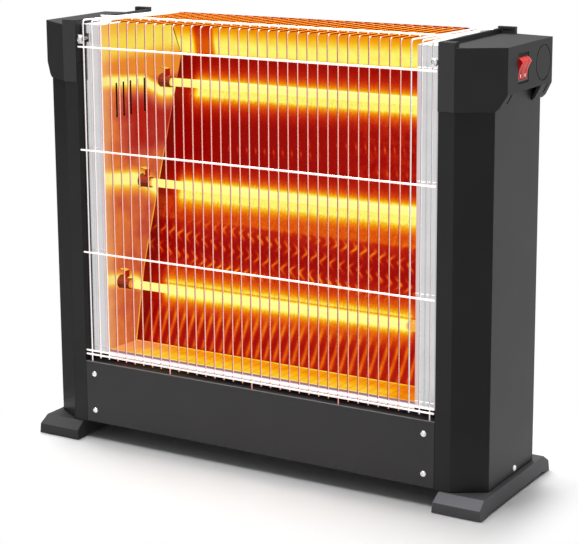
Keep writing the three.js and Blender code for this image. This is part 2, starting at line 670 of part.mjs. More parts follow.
function reflectorSide(side) {
  const path = [
    [INSIDE, FLANGE_Y],
    [MOUTH_HALF, FLANGE_Y],
    [sideX(SIDE_BACK), SIDE_BACK],
    [sideX(SIDE_BACK) + SIDE_REAR_FLANGE, SIDE_BACK],
  ];
  const wall = prism('z', mirrored(side, sheet(path)), SIDE_BOTTOM, SIDE_TOP);
  const top = prism('z', mirrored(side, [
    [MOUTH_HALF, FLANGE_Y], [INSIDE, FLANGE_Y], [INSIDE, SIDE_BACK], [sideX(SIDE_BACK), SIDE_BACK],
  ]), SIDE_TOP - SHEET, SIDE_TOP);

  const across = [side * (MOUTH_HALF - SIDE_SPLAY - 2), side * (MOUTH_HALF + 3)];
  const slotSpan = [tubes[0].z - SLOT_REACH[0], tubes[0].z + SLOT_REACH[1]];
  const slots = Array.from({ length: SLOT_COUNT }, (_, i) => {
    const y = behind(SLOT_SETBACK) + i * SLOT_PITCH;
    return box(across, [y - SLOT_WIDTH / 2, y + SLOT_WIDTH / 2], slotSpan);
  });
  const holes = tubes.map(({ y, z }) => {
    const rise = TUBE_HOLE_RADIUS - CERAMIC_RADIUS - GAP;
    return rod('x', [y, z + rise], TUBE_HOLE_RADIUS, Math.min(...across), Math.max(...across), 16);
  });
  const tabs = tubes.map(({ y, z, side: x }) => {
    const tab = [
      [x + SHEET / 2, z + TAB_RISE],
      [x - TAB_REACH, z + TAB_RISE - 2],
      [x - TAB_REACH, z + CERAMIC_RADIUS + GAP],
    ];
    return prism('y', mirrored(side, sheet(tab)), y - TAB_WIDTH / 2, y + TAB_WIDTH / 2);
  });
  const rearScrews = REAR_SCREW_Z.map((z) => rearScrewHole(side, z));
  const clipHole = rod('y', [side * CLIP_X, CLIP_Z], CLIP_SCREW[2] + GAP, FLANGE_Y - 1, FLANGE_Y + 3, 10);
  const folded = join(wall, top);
  return join(cut(folded, beyondCover(), ...slots, ...holes, ...rearScrews, clipHole), ...tabs);
}

// ---------------------------------------------------------------- tubes

function quartzTube({ side }) {
  const end = side - CERAMIC_INSIDE + CERAMIC_SEAT - GAP;
  const inner = TUBE_RADIUS - TUBE_WALL;
  const ring = [[inner, -end], [TUBE_RADIUS, -end], [TUBE_RADIUS, end], [inner, end], [inner, -end]];
  return turned(ring, 1, 14);
}

function heatingCoil({ side }) {
  const coil = side - CERAMIC_INSIDE;
  const pin = side + CERAMIC_OUTSIDE + 3;
  return turned([
    [0, -pin], [PIN_RADIUS, -pin], [PIN_RADIUS, -coil], [COIL_RADIUS, -coil],
    [COIL_RADIUS, coil], [PIN_RADIUS, coil], [PIN_RADIUS, pin], [0, pin],
  ], 1, 10);
}

function ceramicEnd(side) {
  const bore = TUBE_RADIUS + GAP;
  const pinHole = PIN_RADIUS + GAP;
  const seat = CERAMIC_SEAT - CERAMIC_INSIDE;
  const flange = SHEET + GAP + 0.2;
  return turned([
    [bore, -CERAMIC_INSIDE], [CERAMIC_RADIUS, -CERAMIC_INSIDE],
    [CERAMIC_RADIUS, flange], [CERAMIC_FLANGE[0], flange],
    [CERAMIC_FLANGE[0], flange + CERAMIC_FLANGE[1]], [CERAMIC_RADIUS, flange + CERAMIC_FLANGE[1]],
    [CERAMIC_RADIUS, CERAMIC_OUTSIDE], [pinHole, CERAMIC_OUTSIDE],
    [pinHole, seat], [bore, seat], [bore, -CERAMIC_INSIDE],
  ], side, 12);
}

// ---------------------------------------------------------------- base and rear

function panelScrewHole(x, z) {
  return rod('y', [x, z], PAN_SCREW[2] + GAP, FRONT - 1, FRONT + SHANK_LENGTH, 10);
}

function eachPanelScrew(make) {
  const [inset, margin] = PANEL_SCREW_INSET;
  const heights = [PANEL_BOTTOM + margin, PANEL_TOP - margin];
  return heights.flatMap((z) => [-1, 1].map((side) => make(side * (INSIDE - inset), z)));
}

function frontPanel() {
  const path = [
    [FRONT + PANEL_FLANGE, PANEL_TOP],
    [FRONT, PANEL_TOP],
    [FRONT, PANEL_BOTTOM],
    [FRONT + PANEL_FLANGE, PANEL_BOTTOM],
  ];
  const folded = prism('x', sheet(path, -SHEET), -INSIDE, INSIDE);
  const wireHoles = [];
  for (let i = 0; i < WIRE_COUNT; i += LONG_WIRE_STEP) {
    const x = (i - (WIRE_COUNT - 1) / 2) * WIRE_PITCH;
    wireHoles.push(rod('z', [x, WIRE_Y], WIRE_RADIUS + GAP, PANEL_TOP - 5, PANEL_TOP + 1, 8));
  }
  return cut(folded, ...eachPanelScrew(panelScrewHole), ...wireHoles);
}

function basePan() {
  const front = FRONT + SHEET + GAP;
  const [high, low] = PAN_HEIGHTS;
  const path = [[front, PAN_Z + high], [front, PAN_Z], [SIDE_BACK, PAN_Z], [SIDE_BACK, PAN_Z + low]];
  const trough = prism('x', sheet(path, -SHEET), -INSIDE, INSIDE);
  const ends = SIDES.map(([, side]) => box(
    [side * (INSIDE - SHEET), side * INSIDE],
    [front + SHEET / 2, SIDE_BACK - SHEET / 2],
    [PAN_Z + SHEET / 2, SIDE_BOTTOM - GAP],
  ));
  // the panel's top flange passes over the ends of the pan
  const flangeRoom = SIDES.map(([, side]) => box(
    [side * (INSIDE - SHEET - 1), side * (INSIDE + 1)],
    [front - 1, FRONT + PANEL_FLANGE + GAP],
    [PANEL_TOP - SHEET - GAP, PANEL_TOP + GAP],
  ));
  const slotAbove = SIDES.map(([, side]) => box(
    [side * (INSIDE - SHEET - 1), side * (INSIDE + 1)],
    [front - 1, FLANGE_Y - GAP],
    [PANEL_TOP - SHEET - GAP, SIDE_BOTTOM],
  ));
  return cut(join(trough, ...ends), ...eachPanelScrew(panelScrewHole), ...flangeRoom, ...slotAbove);
}

const REAR_SCREW_X = sideX(SIDE_BACK) + SIDE_REAR_FLANGE / 2;
const REAR_SCREW_Z = [SIDE_BOTTOM + REAR_SCREW_INSET, SHOULDER_Z - REAR_SCREW_INSET];
const GLAND_AT = [INSIDE - GLAND_INSET[0], PAN_Z + GLAND_INSET[1]];

function rearScrewHole(side, z) {
  return rod('y', [side * REAR_SCREW_X, z], PAN_SCREW[2] + GAP, COVER_BACK - SHANK_LENGTH, COVER_BACK + 1, 10);
}

function rearCover() {
  const plate = prism('x', sheet(coverPath), -INSIDE, INSIDE);
  const cheeks = SIDES.map(([, side]) => box(
    [side * (INSIDE - SHEET), side * INSIDE],
    [COVER_BACK - COVER_SIDE_DEPTH, COVER_BACK - SHEET / 2],
    [SIDE_BOTTOM, SHOULDER_Z],
  ));
  const vents = [];
  const rows = Array.from({ length: VENT_ROWS }, (_, i) => i * VENT_PITCH[1]);
  const heights = rows.flatMap((rise) => [
    SIDE_BOTTOM + VENT_INSET[0] + rise, SHOULDER_Z - VENT_INSET[1] - rise,
  ]);
  for (const z of heights) {
    for (let i = 0; i < VENT_COUNT; i++) {
      const x = (i - (VENT_COUNT - 1) / 2) * VENT_PITCH[0];
      vents.push(box(
        [x - VENT_SIZE[0] / 2, x + VENT_SIZE[0] / 2],
        [COVER_BACK - 3, COVER_BACK + 1],
        [z - VENT_SIZE[1] / 2, z + VENT_SIZE[1] / 2],
      ));
    }
  }
  const screws = SIDES.flatMap(([, side]) => REAR_SCREW_Z.map((z) => rearScrewHole(side, z)));
  const glandHole = rod('y', GLAND_AT, GLAND_RADIUS + GAP, COVER_BACK - 3, COVER_BACK + 1, 16);
  return cut(join(plate, ...cheeks), ...vents, ...screws, glandHole);
}

// ---------------------------------------------------------------- switch

const PIVOT_X = CAP_OUTER - PIVOT_DEPTH;
const onCircle = (radius, degrees) => [
  radius * Math.cos(THREE.MathUtils.degToRad(degrees)),
  radius * Math.sin(THREE.MathUtils.degToRad(degrees)),
];

function switchBody() {
  const [bezelWidth, bezelHeight, bezelThickness] = BEZEL_SIZE;
  const face = PIVOT_DEPTH - BEZEL_INSET;
  const bezelBack = face - bezelThickness;
  const bezel = box([bezelBack, face], [-bezelWidth / 2, bezelWidth / 2], [-bezelHeight / 2, bezelHeight / 2]);
  const housing = box(
    [-BODY_REAR, bezelBack + 0.5],
    [-BODY_WIDTH / 2, BODY_WIDTH / 2],
    [-BODY_HEIGHT / 2, BODY_HEIGHT / 2],
  );
  const well = cut(
    rod('y', [0, 0], ROCKER_RADIUS + GAP + 0.1, -WELL_WIDTH / 2, WELL_WIDTH / 2, 36),
    box([-2 * ROCKER_RADIUS, -ROCKER_RADIUS / 2], [-WELL_WIDTH, WELL_WIDTH], [-20, 20]),
  );
  const pinHole = rod('y', [0, 0], SWITCH_PIN_RADIUS + GAP, -BODY_WIDTH, BODY_WIDTH, 12);
  const [bladeLength, bladeThickness, bladeWidth] = BLADE_SIZE;
  const blades = [-1, 1].flatMap((way) => [-1, 0, 1].map((row) => box(
    [-BODY_REAR - bladeLength, -BODY_REAR + 0.5],
    [way * WELL_WIDTH / 4 - bladeWidth / 2, way * WELL_WIDTH / 4 + bladeWidth / 2],
    [row * BODY_HEIGHT / 3 - bladeThickness / 2, row * BODY_HEIGHT / 3 + bladeThickness / 2],
  )));
  return join(cut(join(bezel, housing), well, pinHole), ...blades);
}

// One rocker, upright in its middle position, about its pivot.
function rocker() {
  const tip = onCircle(ROCKER_RADIUS, ROCKER_TIP);
  const front = Array.from({ length: 7 }, (_, i) => {
    const z = tip[1] * (1 - i / 3);
    return [tip[0] - ROCKER_HOLLOW * (1 - (z / tip[1]) ** 2), z];
  });
  const lowerEnd = [55, 67, 80].map((degrees) => onCircle(ROCKER_RADIUS, -degrees));
  const upperEnd = [80, 67, 55].map((degrees) => onCircle(ROCKER_RADIUS, degrees));
  const hub = [[-1.5, -5], [-4, -2], [-4, 2], [-1.5, 5]];
  const outline = [...front, ...lowerEnd, ...hub, ...upperEnd];
  const blank = prism('y', outline, -ROCKER_WIDTH / 2, ROCKER_WIDTH / 2);
  return cut(blank, rod('y', [0, 0], SWITCH_PIN_RADIUS + GAP, -ROCKER_WIDTH, ROCKER_WIDTH, 12));
}

// ---------------------------------------------------------------- fasteners and fittings

// A pan-head screw along +X: the head's seat is at the origin, the shank runs to -X.
function screw([headRadius, headHeight, shankRadius], length = SHANK_LENGTH) {
  return turned([
    [0, -length], [shankRadius, -length], [shankRadius, 0], [headRadius, 0],
    [headRadius, headHeight * 0.45], [headRadius * 0.7, headHeight], [0, headHeight],
  ], 1, 12);
}

const LOOM_X = COLUMN_INNER + COLUMN_WIDTH / 3;
const LOOM_Y = SWITCH_Y;
const FITTINGS_Y = behind(FITTINGS_SETBACK);
const BLOCK_X = INSIDE - BLOCK_INSET;
const TIP_SWITCH_X = TIP_SWITCH_INSET - INSIDE;
const LOOM_Z = PAN_FLOOR + BLOCK_SIZE[2] / 2;

function loomRight() {
  const floor = PAN_FLOOR + LOOM_RADIUS + LOOM_BEND;
  const blockEnd = BLOCK_X + BLOCK_SIZE[0] / 2 + GAP;
  const bladeEnd = PIVOT_X - BODY_REAR - BLADE_SIZE[0] - GAP;
  return wire(rounded([
    [blockEnd, FITTINGS_Y, LOOM_Z],
    [INSIDE - 24, FITTINGS_Y, LOOM_Z],
    [INSIDE - 12, LOOM_Y, SIDE_BOTTOM + floor / 2],
    [LOOM_X, LOOM_Y, SIDE_BOTTOM + 3 * LOOM_BEND + floor],
    [LOOM_X, LOOM_Y, SWITCH_Z],
    [bladeEnd, LOOM_Y, SWITCH_Z],
  ], LOOM_BEND / 2, 3), LOOM_RADIUS, 8);
}

// Runs up past the outer ends of the left-hand terminals.
function loomLeft() {
  const beside = ({ y, z, side }) => [
    -(side + CERAMIC_OUTSIDE + 3 + GAP + LOOM_RADIUS), y, z,
  ];
  const low = beside(tubes[TUBE_COUNT - 1]);
  const high = beside(tubes[0]);
  const blockEnd = BLOCK_X - BLOCK_SIZE[0] / 2 - GAP;
  const aside = FITTINGS_Y - TIP_SWITCH_SIZE[1] / 2 - LOOM_RADIUS - LOOM_BEND;
  return wire(rounded([
    [blockEnd, FITTINGS_Y, LOOM_Z],
    [blockEnd - 3 * LOOM_BEND, FITTINGS_Y, LOOM_Z],
    [blockEnd - 6 * LOOM_BEND, aside, LOOM_Z],
    [low[0], aside, LOOM_Z],
    [low[0], low[1], low[2] - 2 * LOOM_BEND],
    low,
    [high[0], high[1], high[2] + LOOM_RADIUS],
  ], LOOM_BEND, 3), LOOM_RADIUS, 8);
}

function cableGland() {
  return turned([
    [4, -8], [GLAND_RADIUS, -8], [GLAND_RADIUS, 0.2 + GAP], [GLAND_RADIUS + 3, 0.2 + GAP],
    [GLAND_RADIUS + 3, 4], [GLAND_RADIUS, 7], [4, 7], [4, -8],
  ], 1, 16);
}

function thermalCutout() {
  return turned([
    [0, 0], [CUTOUT_RADIUS, 0], [CUTOUT_RADIUS, 5], [CUTOUT_RADIUS * 0.7, 5],
    [CUTOUT_RADIUS * 0.7, 9], [0, 9],
  ], 1, 16);
}

// ---------------------------------------------------------------- assembly

for (const [name, side] of SIDES) {
  piece(`foot_${name}`, foot(side), 'plastic');
  piece(`column_${name}`, column(side), 'enamel');
  piece(`cap_${name}`, side > 0 ? switchCap() : cap(side), 'plastic');
  piece(`reflector_side_${name}`, reflectorSide(side), 'mirror');
  piece(`grille_clip_${name}`, grilleClip(side), 'steel');

  const columnScrew = piece(`column_screw_${name}`, screw(PAN_SCREW), 'steel');
  columnScrew.position.set(side * (COLUMN_OUTER + GAP), COLUMN_SCREW_Y, COLUMN_SCREW_Z);
  columnScrew.rotation.z = side > 0 ? 0 : Math.PI;

  const clipScrew = piece(`clip_screw_${name}`, screw(CLIP_SCREW, SHANK_LENGTH + 3), 'steel');
  clipScrew.position.set(side * CLIP_X, CLIP_BACK - SHEET - GAP, CLIP_Z);
  clipScrew.rotation.z = -Math.PI / 2;

  for (const tube of tubes) {
    const end = piece(`ceramic_${name}_${tube.name}`, ceramicEnd(side), 'ceramic');
    end.position.set(side * tube.side, tube.y, tube.z);
  }
}

piece('wire_grille', wireGrille(), 'chrome');
piece('reflector_back', reflectorBack(), 'mirror');
piece('reflector_tray', reflectorTray(), 'mirror');
piece('front_panel', frontPanel(), 'enamel');
piece('base_pan', basePan(), 'steel');
piece('rear_cover', rearCover(), 'enamel');

for (const tube of tubes) {
  piece(`quartz_tube_${tube.name}`, quartzTube(tube), 'quartz').position.set(0, tube.y, tube.z);
  piece(`heating_coil_${tube.name}`, heatingCoil(tube), 'coil').position.set(0, tube.y, tube.z);
}

eachPanelScrew((x, z) => [x, z]).forEach(([x, z], i) => {
  const panelScrew = piece(`panel_screw_${i + 1}`, screw(PAN_SCREW), 'steel');
  panelScrew.position.set(x, FRONT - GAP, z);
  panelScrew.rotation.z = -Math.PI / 2;
});

SIDES.flatMap(([, side]) => REAR_SCREW_Z.map((z) => [side * REAR_SCREW_X, z])).forEach(([x, z], i) => {
  const rearScrew = piece(`rear_screw_${i + 1}`, screw(PAN_SCREW), 'steel');
  rearScrew.position.set(x, COVER_BACK + GAP, z);
  rearScrew.rotation.z = Math.PI / 2;
});

const rockerSwitch = new THREE.Group();
rockerSwitch.position.set(PIVOT_X, SWITCH_Y, SWITCH_Z);
heater.add(rockerSwitch);
piece('switch_body', switchBody(), 'plastic', rockerSwitch);
const switchPin = rod('y', [0, 0], SWITCH_PIN_RADIUS, -BODY_WIDTH / 2 + 0.2, BODY_WIDTH / 2 - 0.2, 12);
piece('switch_pin', switchPin, 'steel', rockerSwitch);
[['rocker_front', -1], ['rocker_rear', 1]].forEach(([name, way]) => {
  const key = piece(name, rocker(), 'red', rockerSwitch);
  key.position.y = way * (ROCKER_WIDTH + WELL_CLEARANCE) / 2;
  key.rotation.y = THREE.MathUtils.degToRad(ROCKER_SWING);
});

const block = box(
  [BLOCK_X - BLOCK_SIZE[0] / 2, BLOCK_X + BLOCK_SIZE[0] / 2],
  [FITTINGS_Y - BLOCK_SIZE[1] / 2, FITTINGS_Y + BLOCK_SIZE[1] / 2],
  [PAN_FLOOR, PAN_FLOOR + BLOCK_SIZE[2]],
);
const wells = [-1, 0, 1].map((i) => rod(
  'z', [BLOCK_X + i * BLOCK_SIZE[0] / 3.6, FITTINGS_Y], 3,
  PAN_FLOOR + BLOCK_SIZE[2] * 0.4, PAN_FLOOR + BLOCK_SIZE[2] + 1, 10));
piece('terminal_block', cut(block, ...wells), 'insulation');

piece('tip_over_switch', box(
  [TIP_SWITCH_X - TIP_SWITCH_SIZE[0] / 2, TIP_SWITCH_X + TIP_SWITCH_SIZE[0] / 2],
  [FITTINGS_Y - TIP_SWITCH_SIZE[1] / 2, FITTINGS_Y + TIP_SWITCH_SIZE[1] / 2],
  [PAN_FLOOR, PAN_FLOOR + TIP_SWITCH_SIZE[2]],
), 'plastic');

const cutout = piece('thermal_cutout', thermalCutout(), 'insulation');
const cutoutLean = Math.atan(SIDE_SPLAY / (SIDE_BACK - FLANGE_Y));
const cutoutY = behind(CUTOUT_SETBACK);
const cutoutX = sideX(cutoutY) + (SHEET + GAP) / Math.cos(cutoutLean);
cutout.position.set(cutoutX, cutoutY, SIDE_TOP - CUTOUT_DROP);
cutout.rotation.z = cutoutLean;

const gland = piece('cable_gland', cableGland(), 'plastic');
gland.position.set(GLAND_AT[0], COVER_BACK, GLAND_AT[1]);
gland.rotation.z = Math.PI / 2;

piece('loom_right', loomRight(), 'insulation');
piece('loom_left', loomLeft(), 'insulation');

export default heater;
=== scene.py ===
"""Three-tube quartz radiant heater: finishes, softened edges, glow and a pale studio.

Metres in the part's own frame: +X is its right-hand side, +Y its back, +Z up.
Inside the materials, and in the constants that they share with the shapes,
positions are in millimetres.
"""
import functools
import math

import bmesh
import bpy
from mathutils import Matrix, Vector


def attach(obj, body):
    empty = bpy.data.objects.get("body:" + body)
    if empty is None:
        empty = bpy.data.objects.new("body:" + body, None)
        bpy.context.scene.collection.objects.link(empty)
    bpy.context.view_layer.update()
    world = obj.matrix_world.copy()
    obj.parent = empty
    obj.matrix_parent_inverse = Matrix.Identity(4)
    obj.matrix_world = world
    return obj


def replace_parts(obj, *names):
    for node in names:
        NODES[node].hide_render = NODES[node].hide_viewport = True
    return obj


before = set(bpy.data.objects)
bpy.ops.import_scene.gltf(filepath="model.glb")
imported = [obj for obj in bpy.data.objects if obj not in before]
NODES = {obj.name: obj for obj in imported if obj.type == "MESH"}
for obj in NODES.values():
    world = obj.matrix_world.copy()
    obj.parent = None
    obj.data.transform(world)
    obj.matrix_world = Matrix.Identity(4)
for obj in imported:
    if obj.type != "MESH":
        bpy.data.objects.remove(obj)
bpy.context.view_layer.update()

MM = 0.001

# the reflector box
FLANGE_Y = -68.2                  # the front flanges of its sides
MOUTH_HALF = 200.0                # half its width there
SPLAY = 8 / 151.2                 # how much its sides close in, per mm of depth
BACK_LEAVES = [(109.5, -16.8, 0.205), (196, 0.9, 0.3237)]     # lower edge's z and y, slope
LIP_Z = (441.2, 443.4)            # where the back sheet turns forward
COVER_FLANGE_Z = 489.75           # the rear cover's top flange
COIL_PITCH = 2.4                  # in the tubes

# the base
PANEL_TOP = 94.8
PANEL_FRONT = -75.4
FOOTPRINT = (292, 91)             # half the width and depth on the floor

# the switch
ROCKERS_Y = -11.3                 # between the two rockers
ROCKER_STEP = 11.2                # from one rocker's middle to the other's
MARKS_Z = (455.6, 459.0)          # the white bars on the rockers
SILL_Z = (452.2, 453.6)           # the bezel's lower edge, where a highlight is painted


# ---------------------------------------------------------------- camera

CAMERA_AT = Vector((1.02067, -1.69896, 0.70426))
YAW, PITCH, ROLL = 0.538557, 0.203002, -0.0062716
LENS = 111.83
SHIFT_Y = -0.1246


def add_camera():
    flat = math.cos(PITCH)
    forward = Vector((-math.sin(YAW) * flat, math.cos(YAW) * flat, -math.sin(PITCH)))
    level = forward.cross(Vector((0, 0, 1))).normalized()
    upright = level.cross(forward)
    right = level * math.cos(ROLL) + upright * math.sin(ROLL)
    up = upright * math.cos(ROLL) - level * math.sin(ROLL)
    data = bpy.data.cameras.new("camera")
    data.sensor_width = 36
    data.lens = LENS
    data.shift_y = SHIFT_Y
    data.clip_start = 0.05
    data.clip_end = 60
    camera = bpy.data.objects.new("camera", data)
    bpy.context.scene.collection.objects.link(camera)
    turn = Matrix((right, up, -forward)).transposed().to_4x4()
    camera.matrix_world = Matrix.Translation(CAMERA_AT) @ turn
    bpy.context.scene.camera = camera


# ---------------------------------------------------------------- material graphs

class Value:
    """A number or vector between a material's nodes, with ordinary arithmetic."""

    def __init__(self, graph, socket):
        self.graph = graph
        self.socket = socket

    def _with(self, operation, *others):
        return self.graph.math(operation, self, *others)

    def __add__(self, other):
        return self._with("ADD", other)

    __radd__ = __add__

    def __mul__(self, other):
        return self._with("MULTIPLY", other)

    __rmul__ = __mul__

    def __sub__(self, other):
        return self._with("SUBTRACT", other)

    def __rsub__(self, other):
        return self.graph.math("SUBTRACT", other, self)

    def __truediv__(self, other):
        return self._with("DIVIDE", other)

    def __pow__(self, other):
        return self._with("POWER", other)

    def abs(self):
        return self._with("ABSOLUTE")

    def exp(self):
        return self._with("EXPONENT")

    def sin(self):
        return self._with("SINE")

    def fraction(self):
        return self._with("FRACT")

    def min(self, other):
        return self._with("MINIMUM", other)

    def max(self, other):
        return self._with("MAXIMUM", other)

    def clamp(self):
        return self.max(0).min(1)

    def smooth(self, low, high, start=0.0, end=1.0):
        """From start to end while the value goes from low to high."""
        node = self.graph.node("ShaderNodeMapRange", interpolation_type="SMOOTHSTEP")
        self.graph.feed(node.inputs["Value"], self)
        limits = {"From Min": low, "From Max": high, "To Min": start, "To Max": end}
        for key, number in limits.items():
            node.inputs[key].default_value = number
        return Value(self.graph, node.outputs["Result"])

    def fade(self, low, high):
        """From 1 to 0 while the value goes from low to high."""
        return self.smooth(low, high, 1.0, 0.0)

    def between(self, low, high, soft):
        """1 from low to high, fading over soft on both sides."""
        return self.smooth(low - soft, low + soft) * self.fade(high - soft, high + soft)


def largest(values):
    """The largest of several values."""
    return functools.reduce(Value.max, values)


class Graph:
    """One material: its principled shader and the nodes that feed it."""

    def __init__(self, name):
        self.material = bpy.data.materials.new(name)
        self.material.use_nodes = True
        self.tree = self.material.node_tree
        self.shader = self.tree.nodes["Principled BSDF"]
        self._place = None

    def node(self, kind, **settings):
        node = self.tree.nodes.new(kind)
        for key, setting in settings.items():
            setattr(node, key, setting)
        return node

    def feed(self, socket, value):
        if isinstance(value, Value):
            self.tree.links.new(value.socket, socket)
        else:
            socket.default_value = value

    def math(self, operation, *values):
        node = self.node("ShaderNodeMath", operation=operation)
        for socket, value in zip(node.inputs, values):
            self.feed(socket, value)
        return Value(self, node.outputs[0])

    def place(self):
        """The position in the part's frame, in millimetres."""
        if self._place is None:
            coordinates = self.node("ShaderNodeTexCoord")
            scale = self.node("ShaderNodeVectorMath", operation="SCALE")
            self.tree.links.new(coordinates.outputs["Object"], scale.inputs[0])
            scale.inputs["Scale"].default_value = 1 / MM
            self._place = Value(self, scale.outputs[0])
        return self._place

    def xyz(self, vector=None):
        split = self.node("ShaderNodeSeparateXYZ")
        self.feed(split.inputs[0], vector or self.place())
        return [Value(self, split.outputs[i]) for i in range(3)]

    def facing(self):
        """The surface's direction in the part's frame, as three values."""
        coordinates = self.node("ShaderNodeTexCoord")
        return self.xyz(Value(self, coordinates.outputs["Normal"]))

    def vector(self, x, y, z):
        node = self.node("ShaderNodeCombineXYZ")
        for socket, value in zip(node.inputs, (x, y, z)):
            self.feed(socket, value)
        return Value(self, node.outputs[0])

    def noise(self, size, detail, rough=0.5, at=None):
        """Noise between about 0.3 and 0.7 whose features are size millimetres across."""
        node = self.node("ShaderNodeTexNoise")
        self.feed(node.inputs["Vector"], at or self.place())
        node.inputs["Scale"].default_value = 1 / size
        node.inputs["Detail"].default_value = detail
        node.inputs["Roughness"].default_value = rough
        return Value(self, node.outputs[0])

    def stray(self, size, detail, span=1.0):
        """Noise to both sides of zero, some fifth of span each way."""
        return (self.noise(size, detail) - 0.5) * span

    def ramp(self, value, stops):
        """A colour from (place, colour) stops."""
        node = self.node("ShaderNodeValToRGB")
        self.feed(node.inputs[0], value)
        elements = node.color_ramp.elements
        while len(elements) < len(stops):
            elements.new(0.5)
        for element, (at, colour) in zip(elements, stops):
            element.position = at
            element.color = (*linear(colour), 1)
        return Value(self, node.outputs[0])

    def mix(self, amount, one, other):
        node = self.node("ShaderNodeMix", data_type="RGBA")
        self.feed(node.inputs[0], amount)
        for socket, colour in ((node.inputs[6], one), (node.inputs[7], other)):
            self.feed(socket, colour if isinstance(colour, Value) else (*linear(colour), 1))
        return Value(self, node.outputs[2])

    def bump(self, height, distance, strength):
        """Relief: distance is the height in millimetres that a value of 1 stands for."""
        node = self.node("ShaderNodeBump")
        node.inputs["Strength"].default_value = strength
        node.inputs["Distance"].default_value = distance * MM
        self.feed(node.inputs["Height"], height)
        self.tree.links.new(node.outputs[0], self.shader.inputs["Normal"])

    def set(self, **inputs):
        """Sets or feeds the shader's sockets; a colour may be a '#rrggbb' string."""
        for key, value in inputs.items():
            socket = self.shader.inputs[key.replace("_", " ")]
            if isinstance(value, str):
                value = (*linear(value), 1)
            self.feed(socket, value)


def linear(colour):
    """'#rrggbb' as linear red, green and blue."""
    if not isinstance(colour, str):
        return colour
    parts = [int(colour[i:i + 2], 16) / 255 for i in (1, 3, 5)]
    return tuple(c / 12.92 if c <= 0.04045 else ((c + 0.055) / 1.055) ** 2.4 for c in parts)


# ---------------------------------------------------------------- finishes, with painted light, shade and glow

PEEL = (1.6, 2)                   # noise of a sprayed coat's orange peel


def sprayed(g, cloud_size, dark, light):
    """Orange peel and dust-fine grain; gives the coat's colour and its clouds."""
    clouds = g.noise(cloud_size, 2)
    grain = g.noise(0.35, 1)
    g.bump(g.noise(*PEEL) * 0.7 + grain * 0.3, 0.03, 0.35)
    return g.mix((clouds * 1.6 - 0.3 + (grain - 0.5) * 0.5).clamp(), dark, light), clouds


def powder_coat(name, dark, light, roughness, gloss):
    """Satin powder coat with a slight clouding of its gloss."""
    g = Graph(name)
    coat, clouds = sprayed(g, 70, dark, light)
    g.set(Base_Color=coat, Roughness=roughness - 0.05 + clouds * 0.1, Specular_IOR_Level=gloss)
    return g.material


def panel_coat(name):
    """The columns' coat, a little lighter, with a painted highlight along the panel's top edge.
    """
    g = Graph(name)
    _, y, z = g.xyz()
    coat, clouds = sprayed(g, 90, "#2e2c2e", "#363436")
    front = y.fade(PANEL_FRONT - 0.2, PANEL_FRONT + 0.2)
    # painted highlight along the front of the panel's top edge
    edge = z.smooth(PANEL_TOP - 0.8, PANEL_TOP - 0.5) * front
    g.set(Base_Color=g.mix(edge, coat, "#8c8c8c"))
    g.set(Roughness=0.4 + clouds * 0.1, Specular_IOR_Level=0.4)
    return g.material


def moulded_plastic(name, dark, light, gloss, front=None, slope=None, level_gloss=None):
    """Black moulded plastic with a fine spark-eroded grain.

    Faces to the front or on a slope may be painted lighter as painted light, and level
    faces have their own gloss.
    """
    g = Graph(name)
    _, ny, nz = g.facing()
    clouds = g.noise(40, 2)
    grain = g.noise(0.55, 3, 0.6)
    colour = g.mix((clouds - 0.1 + (grain - 0.5) * 0.7).clamp(), dark, light)
    if front:
        # painted light: faces to the front lighter
        colour = g.mix(ny.fade(-0.98, -0.92), colour, front)
    if slope:
        # painted highlight on sloping faces
        slope_highlight = nz.between(0.72, 0.92, 0.03) * ny.fade(-0.4, -0.3)
        colour = g.mix(slope_highlight, colour, slope)
    if level_gloss is not None:
        gloss = nz.smooth(0.93, 0.98, gloss, level_gloss)
    g.set(Base_Color=colour, Roughness=0.52 + grain * 0.12, Specular_IOR_Level=gloss)
    g.bump(grain, 0.05, 0.4)
    return g.material


